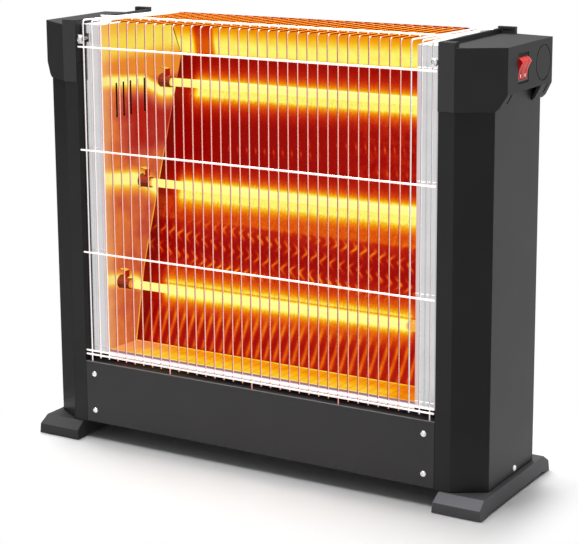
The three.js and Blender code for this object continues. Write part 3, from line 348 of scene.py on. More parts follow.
def plated_wire(name):
    """Bright plating with faint drawing marks, with painted shade and a painted glow where the
    tubes reach it.

    The wires stand behind the front bars, bend over and run back to the rear bar.
    """
    g = Graph(name)
    x, y, z = g.xyz()
    nx, ny, nz = g.facing()
    marks = g.noise(0.6, 2)
    over_box = x.abs().fade(MOUTH_HALF - 12, MOUTH_HALF - 4)
    off_bar = (y - TOP_BAR_Y).abs().smooth(1.6, 2.2)
    above = y.smooth(-72, -69) * off_bar * z.smooth(490, 491) * over_box
    standing = y.fade(-71, -70)
    bar = y.fade(BAR_PLANE - 0.1, BAR_PLANE + 0.1)
    upright = standing * (1 - bar)
    # painted shade on the upright wires' faces, all but those turned to the right
    flank = nx.fade(0.05, 0.45) * upright
    # a painted dark reflection along the front bars' middle
    painted_bar_reflection = (nz - 0.2).abs().smooth(0.05, 0.24, 0.8, 0.0) * bar * over_box
    painted_shade_and_glow = above.max(flank).max(painted_bar_reflection)
    before_rear = y.fade(REAR_BAR_Y - 2.65, REAR_BAR_Y - 1.65)
    # the top wires painted dark red, with a painted orange glow on their upper faces
    over = g.mix(nz.smooth(0.3, 0.8) * before_rear, "#8a2a0e", "#f09030")
    # the painted shade's colour: grey beside the box, dark red over it, pink on the bars
    dark = g.mix(over_box, "#8e8e92", g.mix(bar, "#5e1606", "#a86058"))
    dark = g.mix(above, dark, over)
    lit = over_box * upright
    # a painted pink tint of the glow on the wires over the box
    plated = g.mix(lit, g.mix(marks, "#f6eff0", "#ffffff"), g.mix(marks, "#f0cec6", "#fadcd4"))
    # emission as painted sheen, stronger on faces turned to the back
    shine = g.mix(painted_shade_and_glow, g.mix(lit, "#ffeeea", "#ff9c8a"), dark)
    unseen = ny.smooth(0.1, 0.5) * standing
    g.set(Base_Color=g.mix(painted_shade_and_glow, plated, dark), Metallic=0.6 - painted_shade_and_glow * 0.6)
    g.set(Specular_IOR_Level=0.5 - painted_shade_and_glow * 0.5, Roughness=0.14 + marks * 0.1)
    g.set(Emission_Color=g.mix(unseen, shine, "#e4e2e2"), Emission_Strength=0.5 + unseen * 0.3)
    g.bump(marks, 0.01, 0.3)
    return g.material


def bare_metal(name, dark, light, roughness, shine=0.0):
    """Plain metal; shine stands for the lamps' own glint on small bright pieces."""
    g = Graph(name)
    grain = g.noise(0.8, 3)
    cloud = g.noise(18, 2)
    g.set(Base_Color=g.mix(cloud, dark, light), Metallic=1.0)
    g.set(Roughness=roughness - 0.05 + grain * 0.1, Emission_Color=light, Emission_Strength=shine)
    g.bump(grain, 0.02, 0.4)
    return g.material


# the polished sheets' painted glow colours from dark to full; the sides' are in the next table
PAINTED_GLOW_COLOURS = [
    (0.0, "#880000"), (0.18, "#a20b02"), (0.35, "#b92006"), (0.5, "#d04006"), (0.62, "#e05f07"),
    (0.74, "#ec8408"), (0.84, "#f5b010"), (0.92, "#f9d43c"), (1.0, "#fdf872"),
]
WALL_PAINTED_GLOW_COLOURS = [
    (0.0, "#7a1008"), (0.2, "#b01e10"), (0.32, "#ae3026"), (0.45, "#c24e34"), (0.6, "#dc7436"),
    (0.72, "#ea8e2c"), (0.84, "#f3ba3e"), (0.92, "#f6dc50"), (1.0, "#fdf68c"),
]
# the tubes' painted mirror images in the back sheet: height, half, fades below and above, shape
# of the fade
TUBE_IMAGES = [(404, 8, 15, 14, 1.1), (288, 9, 25, 13, 1.0), (173, 5.5, 19, 9, 1.0)]
# and the tubes' painted glow bands on the sides: height at the mouth, fall per mm of depth,
# y of the bend down, half, fades below and above, brightness
WALL_BANDS = [
    (426, 0.105, 4, 3.6, 18, 15, 1.0),
    (313, 0.155, -6, 5.5, 26, 17, 1.0),
    (193, 0.2, -24, 4, 15, 15, 0.97),
]


def glow_band(z, centre, half, below, above, shape=1.0):
    """1 within half of centre, fading with the given lengths below and above."""
    up = (((z - centre - half).max(0) / above) ** shape * -1).exp()
    down = (((centre - half - z).max(0) / below) ** shape * -1).exp()
    return up * down


def ridge(phase, half):
    """1 halfway through each turn of phase, 0 from half a turn's share away."""
    return (phase.fraction() - 0.5).abs().fade(0, half)


def wall_at(y):
    """How far the box's sides stand from its middle at the depth y."""
    return MOUTH_HALF - (y - FLANGE_Y) * SPLAY


def back_painted_glow(g):
    """Painted glow of the back sheet: painted mirror images of the tubes and painted broken
    reflections of the grille.
    """
    x, _, z = g.xyz()
    waver = g.stray(22, 2, 5)
    tall = g.noise(1, 2, at=g.vector(x * 0.5, 0, z * 0.07)) + g.noise(2.6, 3) - 1.0
    ends = x.abs().fade(158, 176)

    line = glow_band(z, 182.3, 0.9, 2.4, 20) * 0.93
    bands = largest([line] + [glow_band(z, *image) for image in TUBE_IMAGES])
    bands = bands * (0.25 + ends * 0.75)

    # painted broken images of the wires: streaks over the tray, curls between the lower tubes,
    # ticks above
    lean = (x + waver * 0.4 - (z - 110) * 0.235) / WIRE_PITCH
    streaks = ridge(lean, 0.38) * z.between(108, 152, 9)
    curl = (x + (z * (2 * math.pi / 15) + x * 0.021).sin() * 2.9 + waver * 0.7) / WIRE_PITCH
    curls = ridge(curl, 0.36) * z.between(200, 252, 7)
    curls = curls * (0.55 + (z * (2 * math.pi / 21) + x * 0.045).sin() * 0.5).clamp()
    rows = glow_band(z - x * 0.02, 341, 1.2, 3, 2) * x.between(-120, 20, 16)
    rows = rows.max(glow_band(z - x * 0.02, 353, 1, 3, 2) * x.between(-5, 130, 14))
    rows = rows.max(glow_band(z, 329, 1, 3, 3) * x.between(50, 165, 18) * 0.8)
    ticks = ridge((x + (z - 340) * 0.3) / WIRE_PITCH, 0.2) * rows
    cloud = (g.noise(9, 3) - 0.42).max(0) * 4 * x.smooth(35, 85) * z.between(318, 385, 10)

    plateau = z.between(252, 282, 5) * (0.42 + x.smooth(-150, -40) * 0.16 + g.stray(7, 3, 0.25))
    glow_level = bands.max(0.07 + (x + MOUTH_HALF) * 0.00025).max(plateau)
    glow_level = glow_level + streaks * 0.4 + curls * 0.5 + ticks * 0.36 + cloud * 0.16
    glow_level = glow_level + glow_band(z, 117, 4, 8, 12) * 0.12 + tall * 0.2

    # the lip's painted reflection of the top tube, with a painted dark image of the left side's
    # flange, and painted shade along the side edges and in the lip's corners
    lip = z.smooth(*LIP_Z)
    dip = (x - (z - 462) * 0.19).between(-166, -140, 4) * 0.4
    over = z.smooth(456, 482, 0.99, 0.74) + z.smooth(442, 447, -0.1, 0.0) - dip
    over = over + g.stray(12, 2, 0.1)
    glow_level = glow_level * (1 - lip) + over * lip
    corner = x.abs().smooth(190.6, 191.6) * lip * 0.9
    painted_edge_shade = x.abs().smooth(179, 184) * (1 - lip) * 0.4
    return glow_level, painted_edge_shade.max(corner), "#4e130c"


def glowing_sheet(name, build, side):
    """Polished sheet with a painted glow, an emission, where side(g) is 1.

    build(g) gives the painted glow's level, the share of a painted veil over it and the veil's
    colour.
    """
    g = Graph(name)
    glow_level, veil, veil_colour = build(g)
    lit = side(g)
    scratches = g.noise(1.2, 2)
    glow = g.mix(veil, g.ramp(glow_level.clamp(), PAINTED_GLOW_COLOURS), veil_colour)
    g.set(Base_Color=g.mix(lit, "#c9c9c7", "#050101"), Metallic=1 - lit)
    g.set(Roughness=0.2 + scratches * 0.1, Specular_IOR_Level=0.03)
    g.set(Emission_Color=g.mix(lit, "#000000", glow), Emission_Strength=1.0)
    g.bump(g.noise(26, 1), 0.3, 0.3)
    return g.material


def front_side(g):
    """1 on faces that look forward."""
    return g.facing()[1].fade(-0.3, -0.1)


def top_side(g):
    """1 on faces that look up or straight forward."""
    _, ny, nz = g.facing()
    return nz.smooth(0.2, 0.5).max(ny.fade(-0.9, -0.6))


def wall_painted_glow(g):
    """Painted glow of the box's sides: a falling band for each tube, a bright top, lighter upper
    faces on the tabs and a pale painted haze by the mouth.
    """
    x, y, z = g.xyz()
    blotch = g.stray(26, 3)
    upper = z.smooth(322, 350)
    base = 0.56 + blotch * 0.4 - y.smooth(-55, 0) * (0.05 + upper * 0.27)
    before_back = largest([(z - low) * slope + at for low, at, slope in BACK_LEAVES]) - y
    base = base + before_back.smooth(1.2, 2.6, 0.3, 0.0) * z.fade(436, 440)
    bands = []
    for mouth, fall, bend, half, below, above, peak in WALL_BANDS:
        drop = (y - FLANGE_Y) * fall + (y - bend).smooth(0, 42, 0.0, 13.0) + blotch * 5
        bands.append(glow_band(z + drop, mouth, half, below, above) * peak)
    glow_level = base.max(largest(bands))
    crown = z.smooth(405, 425) * 0.68 + z.smooth(440, 460) * 0.22 - z.smooth(468, 488) * 0.08
    glow_level = glow_level.max(crown + blotch * 0.12 + y.smooth(0, 40) * 0.04)
    tab = (wall_at(y) - x.abs()).smooth(0.9, 1.5)
    # painted light on the tabs' upper faces
    glow_level = glow_level * (1 - tab) + (0.16 + g.facing()[2].smooth(0.3, 0.7) * 0.7) * tab
    # a pale painted haze towards the mouth
    haze = y.smooth(-70, -44, 0.42, 0.0)
    return glow_level, haze, "#f3c184"


def rim_painted_glow(g):
    """Even painted glow of the box's upper rear edge."""
    return 0.76 + g.stray(16, 2, 0.16), 0.25, "#ff8c46"


def cover_sheet(name):
    """Coated rear cover; its top flange carries a painted glow between the box's sides."""
    g = Graph(name)
    x, _, z = g.xyz()
    clouds = g.noise(70, 2)
    flange = z.smooth(COVER_FLANGE_Z - 0.15, COVER_FLANGE_Z + 0.15)
    over = flange * x.abs().fade(190, 193) * g.facing()[2].smooth(0.6, 0.8)
    glow_level, veil, veil_colour = rim_painted_glow(g)
    glow = g.mix(veil, g.ramp(glow_level.clamp(), PAINTED_GLOW_COLOURS), veil_colour)
    g.set(Base_Color=g.mix(over, g.mix(clouds, "#2c2a2c", "#353335"), "#050101"))
    g.set(Roughness=0.4 + clouds * 0.1, Specular_IOR_Level=0.4)
    g.set(Emission_Color=g.mix(over, "#000000", glow), Emission_Strength=1.0)
    g.bump(g.noise(*PEEL), 0.03, 0.35)
    return g.material


def tray_painted_glow(g):
    """Painted glow of the tray, dimmer to its ends and in its middle, with the wires' faint
    painted images and a pale painted veil on its front lip and its left end.
    """
    x, y, z = g.xyz()
    glow_level = 0.88 - y.smooth(-56, -28) * 0.1 + y.fade(-67, -65) * 0.12 + y.smooth(-20.5, -19) * 0.14
    glow_level = glow_level - x.abs().smooth(150, 185) * 0.14 + g.stray(14, 2, 0.12)
    images = ridge(x / WIRE_PITCH, 0.16) * 0.05
    front = g.facing()[1].fade(-0.9, -0.6)
    haze = x.smooth(-190, -120, 0.3, 0.0)
    # the front lip's painted veil: pale below, violet above
    edge = g.mix(z.smooth(107, 108), "#fbeef0", "#9c7488")
    return glow_level - images, front.max(haze), g.mix(front, "#f8c890", edge)


def side_sheet(name):
    """The box's side: silver flanges with a painted pink tint of the glow by the mouth, and a
    painted glow on the inner face.
    """
    g = Graph(name)
    x, y, z = g.xyz()
    inner = (x.abs() - wall_at(y)).fade(0.1, 0.4) * y.smooth(FLANGE_Y + 0.6, FLANGE_Y + 0.9)
    rolled = g.noise(0.5, 2, at=g.vector(x, y, z * 0.02))
    glow_level, haze, haze_colour = wall_painted_glow(g)
    glow = g.mix(haze, g.ramp(glow_level.clamp(), WALL_PAINTED_GLOW_COLOURS), haze_colour)
    # painted pink tint of the glow on the flanges next to the mouth
    painted_glow_tint = x.abs().smooth(MOUTH_HALF, MOUTH_HALF + 7, 0.6, 0.0)
    painted_glow_tint = painted_glow_tint * y.fade(FLANGE_Y + 0.9, FLANGE_Y + 2.2)
    silver = g.mix(painted_glow_tint, g.mix(g.noise(30, 2), "#cacacc", "#dededf"), "#dcb4b2")
    g.set(Base_Color=g.mix(inner, silver, "#060202"), Metallic=1 - inner, Specular_IOR_Level=0.03)
    g.set(Roughness=0.1 + rolled * 0.1 + g.facing()[2].smooth(0.6, 0.9, 0.0, 0.3))
    g.set(Emission_Color=g.mix(inner, "#000000", glow), Emission_Strength=1.0)
    g.bump(rolled, 0.006, 0.2)
    return g.material


def lit_quartz(name):
    """Quartz tube glowing at full power, with the coil's turns just showing."""
    g = Graph(name)
    x = g.xyz()[0]
    turns = ((x * (2 * math.pi / COIL_PITCH)).sin() * 0.5 + 0.5) * 0.25
    ends = x.abs().smooth(177, 182)
    colour = g.mix(turns, "#fefc8e", "#fdf878")
    g.set(Base_Color="#302010", Roughness=0.15, Specular_IOR_Level=0.2)
    g.set(Emission_Color=g.mix(ends, colour, "#e88c24"), Emission_Strength=1.0)
    return g.material


def ceramic(name):
    """Steatite end piece; inside the box it carries a painted glow, lighter on its upper faces
    and orange-yellow on the right-hand pieces.
    """
    g = Graph(name)
    x, y, _ = g.xyz()
    grain = g.noise(0.8, 3)
    inside = (x.abs() - wall_at(y)).fade(0.6, 1.6)
    # painted glow, lighter on the upper faces
    glow = g.mix(g.facing()[2].smooth(-0.4, 0.9), "#5e0a05", "#a83410")
    glow = g.mix(x.smooth(0, 10), glow, "#f0a828")
    g.set(Base_Color=g.mix(inside, g.mix(grain, "#c9bfae", "#e6dfd2"), "#2a0a06"))
    g.set(Roughness=0.62 + grain * 0.1)
    g.set(Emission_Color=g.mix(inside, "#000000", glow), Emission_Strength=1.0)
    g.bump(grain, 0.04, 0.5)
    return g.material


def switch_red(name):
    """Red rockers with a white bar printed near the lower end of each, painted lighter on their
    tops and edges as painted highlights, with painted shade in the split between them and a faint
    emission as painted glow.
    """
    g = Graph(name)
    _, y, z = g.xyz()
    nx, _, nz = g.facing()
    cloud = g.noise(3, 2)
    across = (y - ROCKERS_Y).abs()
    middle = (across - ROCKER_STEP / 2).abs()
    face = nx.smooth(0.3, 0.5)
    mark = middle.fade(0.8, 1.0) * z.between(*MARKS_Z, 0.1) * face
    # painted light: the tops lighter
    top = nz.smooth(0.45, 0.75)
    rear = y.smooth(ROCKERS_Y - 1, ROCKERS_Y + 1)
    # painted highlight along the rockers' edges, stronger on the rear one
    edge = middle.smooth(3.4, 4.6) * face * (0.55 + rear * 0.45)
    # painted shade in the split between the rockers
    split = across.fade(0.3, 0.9)
    red = g.mix(top, g.mix(cloud, "#b80206", "#d0080a"), "#f8342c")
    red = g.mix(split, g.mix(edge, red, "#ff8078"), "#5a0204")
    marked = g.mix(mark, red, "#ffffff")
    g.set(Base_Color=marked, Roughness=0.34 + cloud * 0.06, Specular_IOR_Level=0.15)
    # a faint emission as painted glow
    g.set(Emission_Color=marked, Emission_Strength=0.3)
    g.bump(cloud, 0.02, 0.2)
    return g.material


def switch_bezel(name):
    """Dark glossy bezel with a painted highlight along its lower edge."""
    g = Graph(name)
    grain = g.noise(0.5, 2)
    sill = g.xyz()[2].between(*SILL_Z, 0.2) * g.facing()[0].smooth(0.5, 0.8)
    g.set(Base_Color=g.mix(sill, g.mix(grain, "#0e0e0f", "#19191a"), "#8c8a84"))
    g.set(Roughness=0.5 + grain * 0.1, Specular_IOR_Level=0.12)
    g.bump(grain, 0.02, 0.3)
    return g.material


def rubbery(name, dark, light):
    """Dull rubber or sleeving."""
    g = Graph(name)
    grain = g.noise(0.9, 2)
    g.set(Base_Color=g.mix(grain, dark, light), Roughness=0.6 + grain * 0.1)
    g.bump(grain, 0.05, 0.4)
    return g.material


# ---------------------------------------------------------------- shapes

BEVEL_ANGLE = math.radians(28)    # edges that turn by more are rounded
SHARP_ANGLE = math.radians(38)    # edges that turn by more stay sharp


def add_object(name, mesh, material, body="housing"):
    """A piece of the visual scene that rides on a body of the part."""
    piece = bpy.data.objects.new(name, mesh)
    bpy.context.scene.collection.objects.link(piece)
    mesh.materials.clear()
    mesh.materials.append(material)
    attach(piece, body)
    return piece


def clean_copy(node):
    """The node's mesh welded, with its flat faces whole again."""
    mesh = NODES[node].data.copy()
    b = bmesh.new()
    b.from_mesh(mesh)
    bmesh.ops.remove_doubles(b, verts=b.verts, dist=2e-6)
    bmesh.ops.dissolve_limit(b, angle_limit=math.radians(0.6), verts=b.verts, edges=b.edges)
    bmesh.ops.recalc_face_normals(b, faces=b.faces)
    b.to_mesh(mesh)
    b.free()
    return mesh


def bake(piece):
    """Applies the piece's modifiers."""
    graph = bpy.context.evaluated_depsgraph_get()
    mesh = bpy.data.meshes.new_from_object(piece.evaluated_get(graph))
    piece.modifiers.clear()
    piece.data = mesh


def soften(node, width, material, body="housing", segments=2):
    """Stands for a node with its edges rounded by width millimetres."""
    piece = add_object(node + "_soft", clean_copy(node), material, body)
    bevel = piece.modifiers.new("edges", "BEVEL")
    bevel.width = width * MM
    bevel.segments = segments
    bevel.limit_method = "ANGLE"
    bevel.angle_limit = BEVEL_ANGLE
    bevel.miter_outer = "MITER_ARC"
    bake(piece)
    piece.data.shade_smooth()
    piece.data.set_sharp_from_angle(angle=SHARP_ANGLE)
    even = piece.modifiers.new("even", "WEIGHTED_NORMAL")
    even.keep_sharp = True
    even.weight = 100
    bake(piece)
    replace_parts(piece, node)


def dress(material, *names):
    """A better finish on nodes whose shape is right; some finishes carry painted light and glow.
    """
    for name in names:
        mesh = NODES[name].data
        mesh.materials.clear()
        mesh.materials.append(material)


# ---------------------------------------------------------------- grille

WIRES = 37
WIRE_PITCH = 12.25
WIRE_Y = -74.2
WIRE_RADIUS = 0.9
WIRE_TOP = 495.6
WIRE_BEND = 3.6                   # radius at the top front
BEND_STEPS = 6
LONG_EVERY = 9
WIRE_BOTTOMS = [90.0, 99.6]       # long wires, short wires
BAR_RADIUS = 1.1
BAR_END = 226.5
BAR_PLANE = -75.3                 # parts the front bars from the wires behind them
TOP_BAR_Y = -31.2
REAR_BAR_Y = 76.15
WIRE_END = (REAR_BAR_Y, 491.9)    # (y, z)
BARS = [(-76.3, z) for z in (465.2, 346.4, 226.0, 108.0, 103.4)]
BARS += [(TOP_BAR_Y, 496.2), WIRE_END]


def tube_along(b, route, radius, sides=10):
    """A round wire through the route's points, closed at both ends."""
    rings = []
    normal = None
    for i, point in enumerate(route):
        ahead = route[min(i + 1, len(route) - 1)]
        behind = route[max(i - 1, 0)]
        along = (ahead - behind).normalized()
        if normal is None:
            normal = along.orthogonal().normalized()
        normal = (normal - along * normal.dot(along)).normalized()
        other = along.cross(normal)
        rings.append([
            b.verts.new(point + (normal * math.cos(t) + other * math.sin(t)) * radius)
            for t in (2 * math.pi * k / sides for k in range(sides))
        ])
    for one, two in zip(rings, rings[1:]):
        for k in range(sides):
            b.faces.new((one[k], one[(k + 1) % sides], two[(k + 1) % sides], two[k]))
    b.faces.new(list(reversed(rings[0])))
    b.faces.new(rings[-1])


def mesh_from(b, name, sharp=40):
    """The bmesh as a mesh that is smooth but for edges that turn by more than sharp."""
    mesh = bpy.data.meshes.new(name)
    bmesh.ops.recalc_face_normals(b, faces=b.faces)
    b.to_mesh(mesh)
    b.free()
    mesh.shade_smooth()
    mesh.set_sharp_from_angle(angle=math.radians(sharp))
    return mesh


def lip_rim():
    """The back sheet's upper edge, folded back over the cover's flange."""
    b = bmesh.new()
    low, high = Vector((-194, 56.9, 489.75)), Vector((194, 69.1, 490.1))
    cube = bmesh.ops.create_cube(b, size=1)["verts"]
    bmesh.ops.scale(b, verts=cube, vec=(high - low) * MM)
    bmesh.ops.translate(b, verts=cube, vec=(high + low) / 2 * MM)
    return mesh_from(b, "lip_rim")


def grille():
    """The welded grille with round wires and bars."""
    b = bmesh.new()
    for i in range(WIRES):
        x = (i - (WIRES - 1) / 2) * WIRE_PITCH
        bottom = WIRE_BOTTOMS[0 if i % LONG_EVERY == 0 else 1]
        route = [(x, WIRE_Y, bottom)]
        for step in range(BEND_STEPS + 1):
            turn = math.pi / 2 * step / BEND_STEPS
            y = WIRE_Y + WIRE_BEND * (1 - math.cos(turn))
            route.append((x, y, WIRE_TOP - WIRE_BEND * (1 - math.sin(turn))))
        route.append((x, *WIRE_END))
        tube_along(b, [Vector(point) * MM for point in route], WIRE_RADIUS * MM)
    for y, z in BARS:
        ends = [Vector((side * BAR_END, y, z)) * MM for side in (-1, 1)]
        tube_along(b, ends, BAR_RADIUS * MM, 14)
    return mesh_from(b, "grille")


# ---------------------------------------------------------------- screws

# (share of the radius, share of the head's height below its top)
HEAD_PROFILE = [
    (0.0, 0.0), (0.45, 0.03), (0.72, 0.12), (0.9, 0.3), (0.985, 0.55), (1.0, 0.8), (1.0, 1.0),
]
# shares of the head's radius
HEAD_HEIGHT = 0.63
SHANK = 0.45
RECESS_LENGTH = 1.15
RECESS_WIDTH = 0.26

RECESS_TURN = 0.35
UPRIGHT = {0: Matrix.Rotation(math.pi / 2, 3, "Y"), 1: Matrix.Rotation(math.pi / 2, 3, "X")}
LATHE_SIDES = 28


def cross_screw(node, axis, outward, material):
    """A pan-head screw with a cross recess, in the place of a node's plain one."""
    low, high = node_box(node)
    middle = (low + high) / 2
    across = [i for i in range(3) if i != axis]
    radius = (high[across[0]] - low[across[0]]) / 2
    top = high[axis] if outward > 0 else low[axis]
    end = low[axis] if outward > 0 else high[axis]
    head = radius * HEAD_HEIGHT
    points = [(share * radius, top - outward * down * head) for share, down in HEAD_PROFILE]
    points += [(radius * SHANK, points[-1][1]), (radius * SHANK, end), (0.0, end)]
    b = bmesh.new()
    lathe(b, points, axis, middle)
    piece = add_object(node + "_cross", mesh_from(b, node + "_cross", 45), material)
    place = middle.copy()
    place[axis] = top
    for turn in (RECESS_TURN, RECESS_TURN + math.pi / 2):
        b = bmesh.new()
        bar = bmesh.ops.create_cube(b, size=1)["verts"]
        bmesh.ops.scale(b, verts=bar, vec=(radius * RECESS_LENGTH, radius * RECESS_WIDTH, head))
        spin = UPRIGHT[axis] @ Matrix.Rotation(turn, 3, "Z")
        bmesh.ops.rotate(b, verts=bar, cent=(0, 0, 0), matrix=spin)
        bmesh.ops.translate(b, verts=bar, vec=place)
        cutter = bpy.data.objects.new("cutter", mesh_from(b, "cutter"))
        bpy.context.scene.collection.objects.link(cutter)
        recess = piece.modifiers.new("recess", "BOOLEAN")
        recess.object = cutter
        recess.solver = "EXACT"
        bake(piece)
        bpy.data.objects.remove(cutter)
    piece.data.set_sharp_from_angle(angle=math.radians(40))
    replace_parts(piece, node)


def node_box(node):
    """The lowest and highest corners of a node's mesh."""
    points = [vertex.co for vertex in NODES[node].data.vertices]
    low = Vector([min(point[i] for point in points) for i in range(3)])
    high = Vector([max(point[i] for point in points) for i in range(3)])
    return low, high


def lathe(b, profile, axis, middle):
    """Turns (radius, place along the axis) points round an axis through the middle."""
    across = [i for i in range(3) if i != axis]
    rings = []
    for radius, along in profile:
        ring = []
        for k in range(LATHE_SIDES if radius > 0 else 1):
            turn = 2 * math.pi * k / LATHE_SIDES
            point = middle.copy()
            point[axis] = along
            point[across[0]] += radius * math.cos(turn)
            point[across[1]] += radius * math.sin(turn)
            ring.append(b.verts.new(point))
        rings.append(ring)
    for one, two in zip(rings, rings[1:]):
        for k in range(LATHE_SIDES):
            steps = ((one, k), (one, k + 1), (two, k + 1), (two, k))
            corners = dict.fromkeys(loop[at % len(loop)] for loop, at in steps)
            b.faces.new(list(corners))


# ---------------------------------------------------------------- stage

SIDE_STRETCH = 2.4                # the shadow runs out sooner to the sides
SHADOW_FADE = (10, 190)
WORLD_LIGHT = 0.18
SEEN_RAYS = ("Is Camera Ray", "Is Glossy Ray", "Is Transmission Ray")

# even cards that only show in reflections: brightness, corners
CARDS = {
    "back_card": (0.22, [(-3.4, 0.8, 0), (0.1, 3.0, 0), (0.1, 3.0, 2.6), (-3.4, 0.8, 2.6)]),
    "left_floor_card": (0.2, [
        (-2.2, -0.7, 0.001), (-0.36, -0.25, 0.001), (-0.36, 0.5, 0.001), (-2.2, 0.9, 0.001),
    ]),
    "overhead_card": (6.0, [
        (-1.0, -0.7, 1.6), (-0.2, -0.7, 1.6), (-0.2, 0.1, 1.6), (-1.0, 0.1, 1.6),
    ]),
    "left_card": (0.05, [(-2.2, -2.0, 0), (-2.2, 0.9, 0), (-2.2, 0.9, 2), (-2.2, -2.0, 2)]),
}


def floor_material():
    """Pale floor that keeps the shadow by the heater and runs out into plain white."""
    g = Graph("pale_floor")
    x, y, _ = g.xyz()
    aside = (x.abs() - FOOTPRINT[0]).max(0) * SIDE_STRETCH
    ahead = (y.abs() - FOOTPRINT[1]).max(0)
    away = ((aside * aside + ahead * ahead) ** 0.5).smooth(*SHADOW_FADE)
    path = g.node("ShaderNodeLightPath")
    seen = largest([Value(g, path.outputs[ray]) for ray in SEEN_RAYS])
    matte = g.node("ShaderNodeBsdfDiffuse")
    matte.inputs["Color"].default_value = (0.95, 0.95, 0.95, 1)
    white = g.node("ShaderNodeEmission")
    blend = g.node("ShaderNodeMixShader")
    g.feed(blend.inputs[0], away * seen)
    g.tree.links.new(matte.outputs[0], blend.inputs[1])
    g.tree.links.new(white.outputs[0], blend.inputs[2])
    g.tree.links.new(blend.outputs[0], g.tree.nodes["Material Output"].inputs["Surface"])
    g.tree.nodes.remove(g.shader)
    return g.material


def add_floor():
    b = bmesh.new()
    bmesh.ops.create_circle(b, cap_ends=True, segments=64, radius=9)
    mesh = bpy.data.meshes.new("floor")
    b.to_mesh(mesh)
    b.free()
    mesh.materials.append(floor_material())
    floor = bpy.data.objects.new("floor", mesh)
    floor.location = (0, 0, -0.0004)
    bpy.context.scene.collection.objects.link(floor)


def add_world():
    """White where it is seen or mirrored, a plain soft light otherwise."""
    world = bpy.data.worlds.new("studio")
    world.use_nodes = True
    bpy.context.scene.world = world
    tree = world.node_tree
    nodes, links = tree.nodes, tree.links
    background = nodes["Background"]
    background.inputs["Color"].default_value = (1, 1, 1, 1)
    rays = nodes.new("ShaderNodeLightPath").outputs
    seen = rays[SEEN_RAYS[0]]
    for ray in SEEN_RAYS[1:]:
        either = nodes.new("ShaderNodeMath")
        either.operation = "MAXIMUM"
        links.new(seen, either.inputs[0])
        links.new(rays[ray], either.inputs[1])
        seen = either.outputs[0]
    strength = nodes.new("ShaderNodeMapRange")
    links.new(seen, strength.inputs["Value"])
    strength.inputs["To Min"].default_value = WORLD_LIGHT
    strength.inputs["To Max"].default_value = 1.0
    links.new(strength.outputs["Result"], background.inputs["Strength"])


def add_lamp(name, at, towards, size, power):
    """A rectangular area lamp aimed at a point."""
    data = bpy.data.lights.new(name, "AREA")
    data.shape = "RECTANGLE"
    data.size, data.size_y = size
    data.energy = power
    lamp = bpy.data.objects.new(name, data)
    lamp.location = at
    aim = Vector(towards) - Vector(at)
    lamp.rotation_euler = aim.to_track_quat("-Z", "Y").to_euler()
    bpy.context.scene.collection.objects.link(lamp)


def add_card(name, corners, level):
    """A studio card of even brightness that only shows in reflections."""
    b = bmesh.new()
    b.faces.new([b.verts.new(corner) for corner in corners])
    mesh = bpy.data.meshes.new(name)
    b.to_mesh(mesh)
    b.free()
    material = bpy.data.materials.new(name)
    material.use_nodes = True
    tree = material.node_tree
    tree.nodes.remove(tree.nodes["Principled BSDF"])
    grey = tree.nodes.new("ShaderNodeEmission")
    grey.inputs["Color"].default_value = (level, level, level, 1)
    tree.links.new(grey.outputs[0], tree.nodes["Material Output"].inputs["Surface"])
    mesh.materials.append(material)
    card = bpy.data.objects.new(name, mesh)
    bpy.context.scene.collection.objects.link(card)
    card.visible_camera = False
    card.visible_diffuse = False
    card.visible_shadow = False
    card.visible_transmission = False
    card.visible_volume_scatter = False


def add_cards():
    """Dark behind the camera, on the floor towards it and on the left; bright overhead."""
    ahead = Vector((math.sin(YAW), -math.cos(YAW), 0))
    across = Vector((math.cos(YAW), math.sin(YAW), 0))
    foot = Vector((0.26, -0.09, 0.001))
    near, far = foot + ahead * 0.12, foot + ahead * 2.7
    left, right = far - across * 0.6, far + across
    high = Vector((0, 0, 2.0))
    add_card("floor_card", [near - across * 0.3, near + across * 0.6, right, left], 0.3)
    add_card("camera_card", [left, right, right + high, left + high], 0.3)
    for name, (level, corners) in CARDS.items():
        add_card(name, corners, level)


# ---------------------------------------------------------------- build

add_camera()

COLUMN = powder_coat("column_coat", "#242222", "#2b2929", 0.42, 0.24)
PANEL = panel_coat("panel_coat")
# black plastic with its front faces painted lighter as painted light
PLASTIC = moulded_plastic(
    "black_plastic", "#28282a", "#303031", 0.3, front="#404042", level_gloss=0.09)
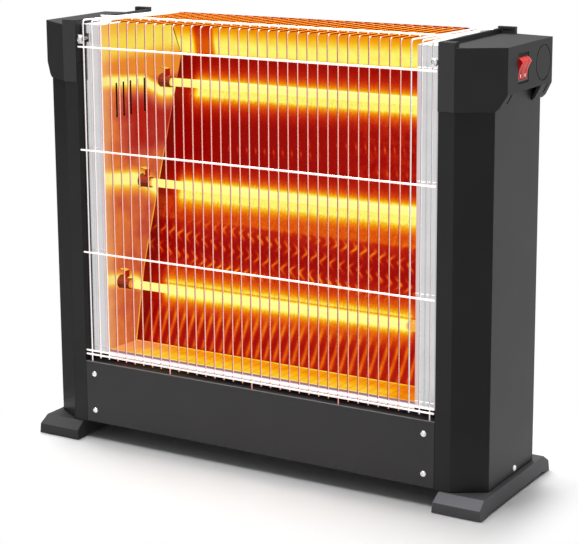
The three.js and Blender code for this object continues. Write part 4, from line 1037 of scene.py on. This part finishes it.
# one plastic for both feet: painted darker on the left foot and lighter on the right one as
# painted light from the right, with a painted highlight on the right foot's slope
FEET = {
    "left": moulded_plastic("foot_plastic_left_painted_shade", "#2a2a2c", "#343436", 0.35),
    "right": moulded_plastic("foot_plastic_right_painted_light", "#4b4b4e", "#59595c", 0.4, slope="#74747a"),
}
WIRE = plated_wire("plated_wire")
STEEL = bare_metal("bare_steel", "#8d8d8c", "#b9b8b6", 0.35)
SCREW = bare_metal("screw_zinc", "#e4e4e2", "#f8f8f6", 0.22, 0.1)
CLIP = bare_metal("clip_chrome", "#dadada", "#f2f2f0", 0.15)
SIDE = side_sheet("side_sheet")
BACK = glowing_sheet("back_sheet", back_painted_glow, front_side)
TRAY = glowing_sheet("tray_sheet", tray_painted_glow, top_side)
QUARTZ = lit_quartz("lit_quartz")
CERAMIC = ceramic("ceramic")
RED = switch_red("switch_red")
INSULATION = rubbery("insulation", "#3a3a3c", "#55524e")

for side in ("left", "right"):
    way = 1 if side == "right" else -1
    soften(f"column_{side}", 0.9, COLUMN, segments=3)
    soften(f"cap_{side}", 0.5, PLASTIC)
    soften(f"foot_{side}", 0.8, FEET[side])
    soften(f"grille_clip_{side}", 0.25, CLIP)
    dress(SIDE, f"reflector_side_{side}")
    cross_screw(f"column_screw_{side}", 0, way, SCREW)
    cross_screw(f"clip_screw_{side}", 1, -1, CLIP)
    for row in (1, 2, 3):
        dress(CERAMIC, f"ceramic_{side}_{row}")
soften("front_panel", 0.35, PANEL, segments=2)
dress(PANEL, "base_pan")
dress(cover_sheet("cover_coat"), "rear_cover")
dress(BACK, "reflector_back")
dress(TRAY, "reflector_tray")
# the back sheet's fold over the cover's flange carries the rim's painted glow
add_object("lip_rim", lip_rim(), glowing_sheet("rim_sheet", rim_painted_glow, top_side))
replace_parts(add_object("grille_round", grille(), WIRE), "wire_grille")
for row in (1, 2, 3):
    dress(QUARTZ, f"quartz_tube_{row}")
    dress(STEEL, f"heating_coil_{row}")
for row in (1, 2, 3, 4):
    cross_screw(f"panel_screw_{row}", 1, -1, SCREW)
    cross_screw(f"rear_screw_{row}", 1, 1, SCREW)
dress(switch_bezel("switch_bezel"), "switch_body")
dress(PLASTIC, "cable_gland", "terminal_block", "tip_over_switch")
dress(STEEL, "switch_pin", "thermal_cutout")
dress(INSULATION, "loom_left", "loom_right")
for rocker in ("rocker_front", "rocker_rear"):
    soften(rocker, 0.3, RED, rocker)

add_floor()
add_world()
add_cards()
add_lamp("key", (-0.35, 0.35, 1.75), (-0.1, 0.1, 0), (1.5, 1.9), 60)

bpy.context.scene.view_settings.view_transform = "Standard"
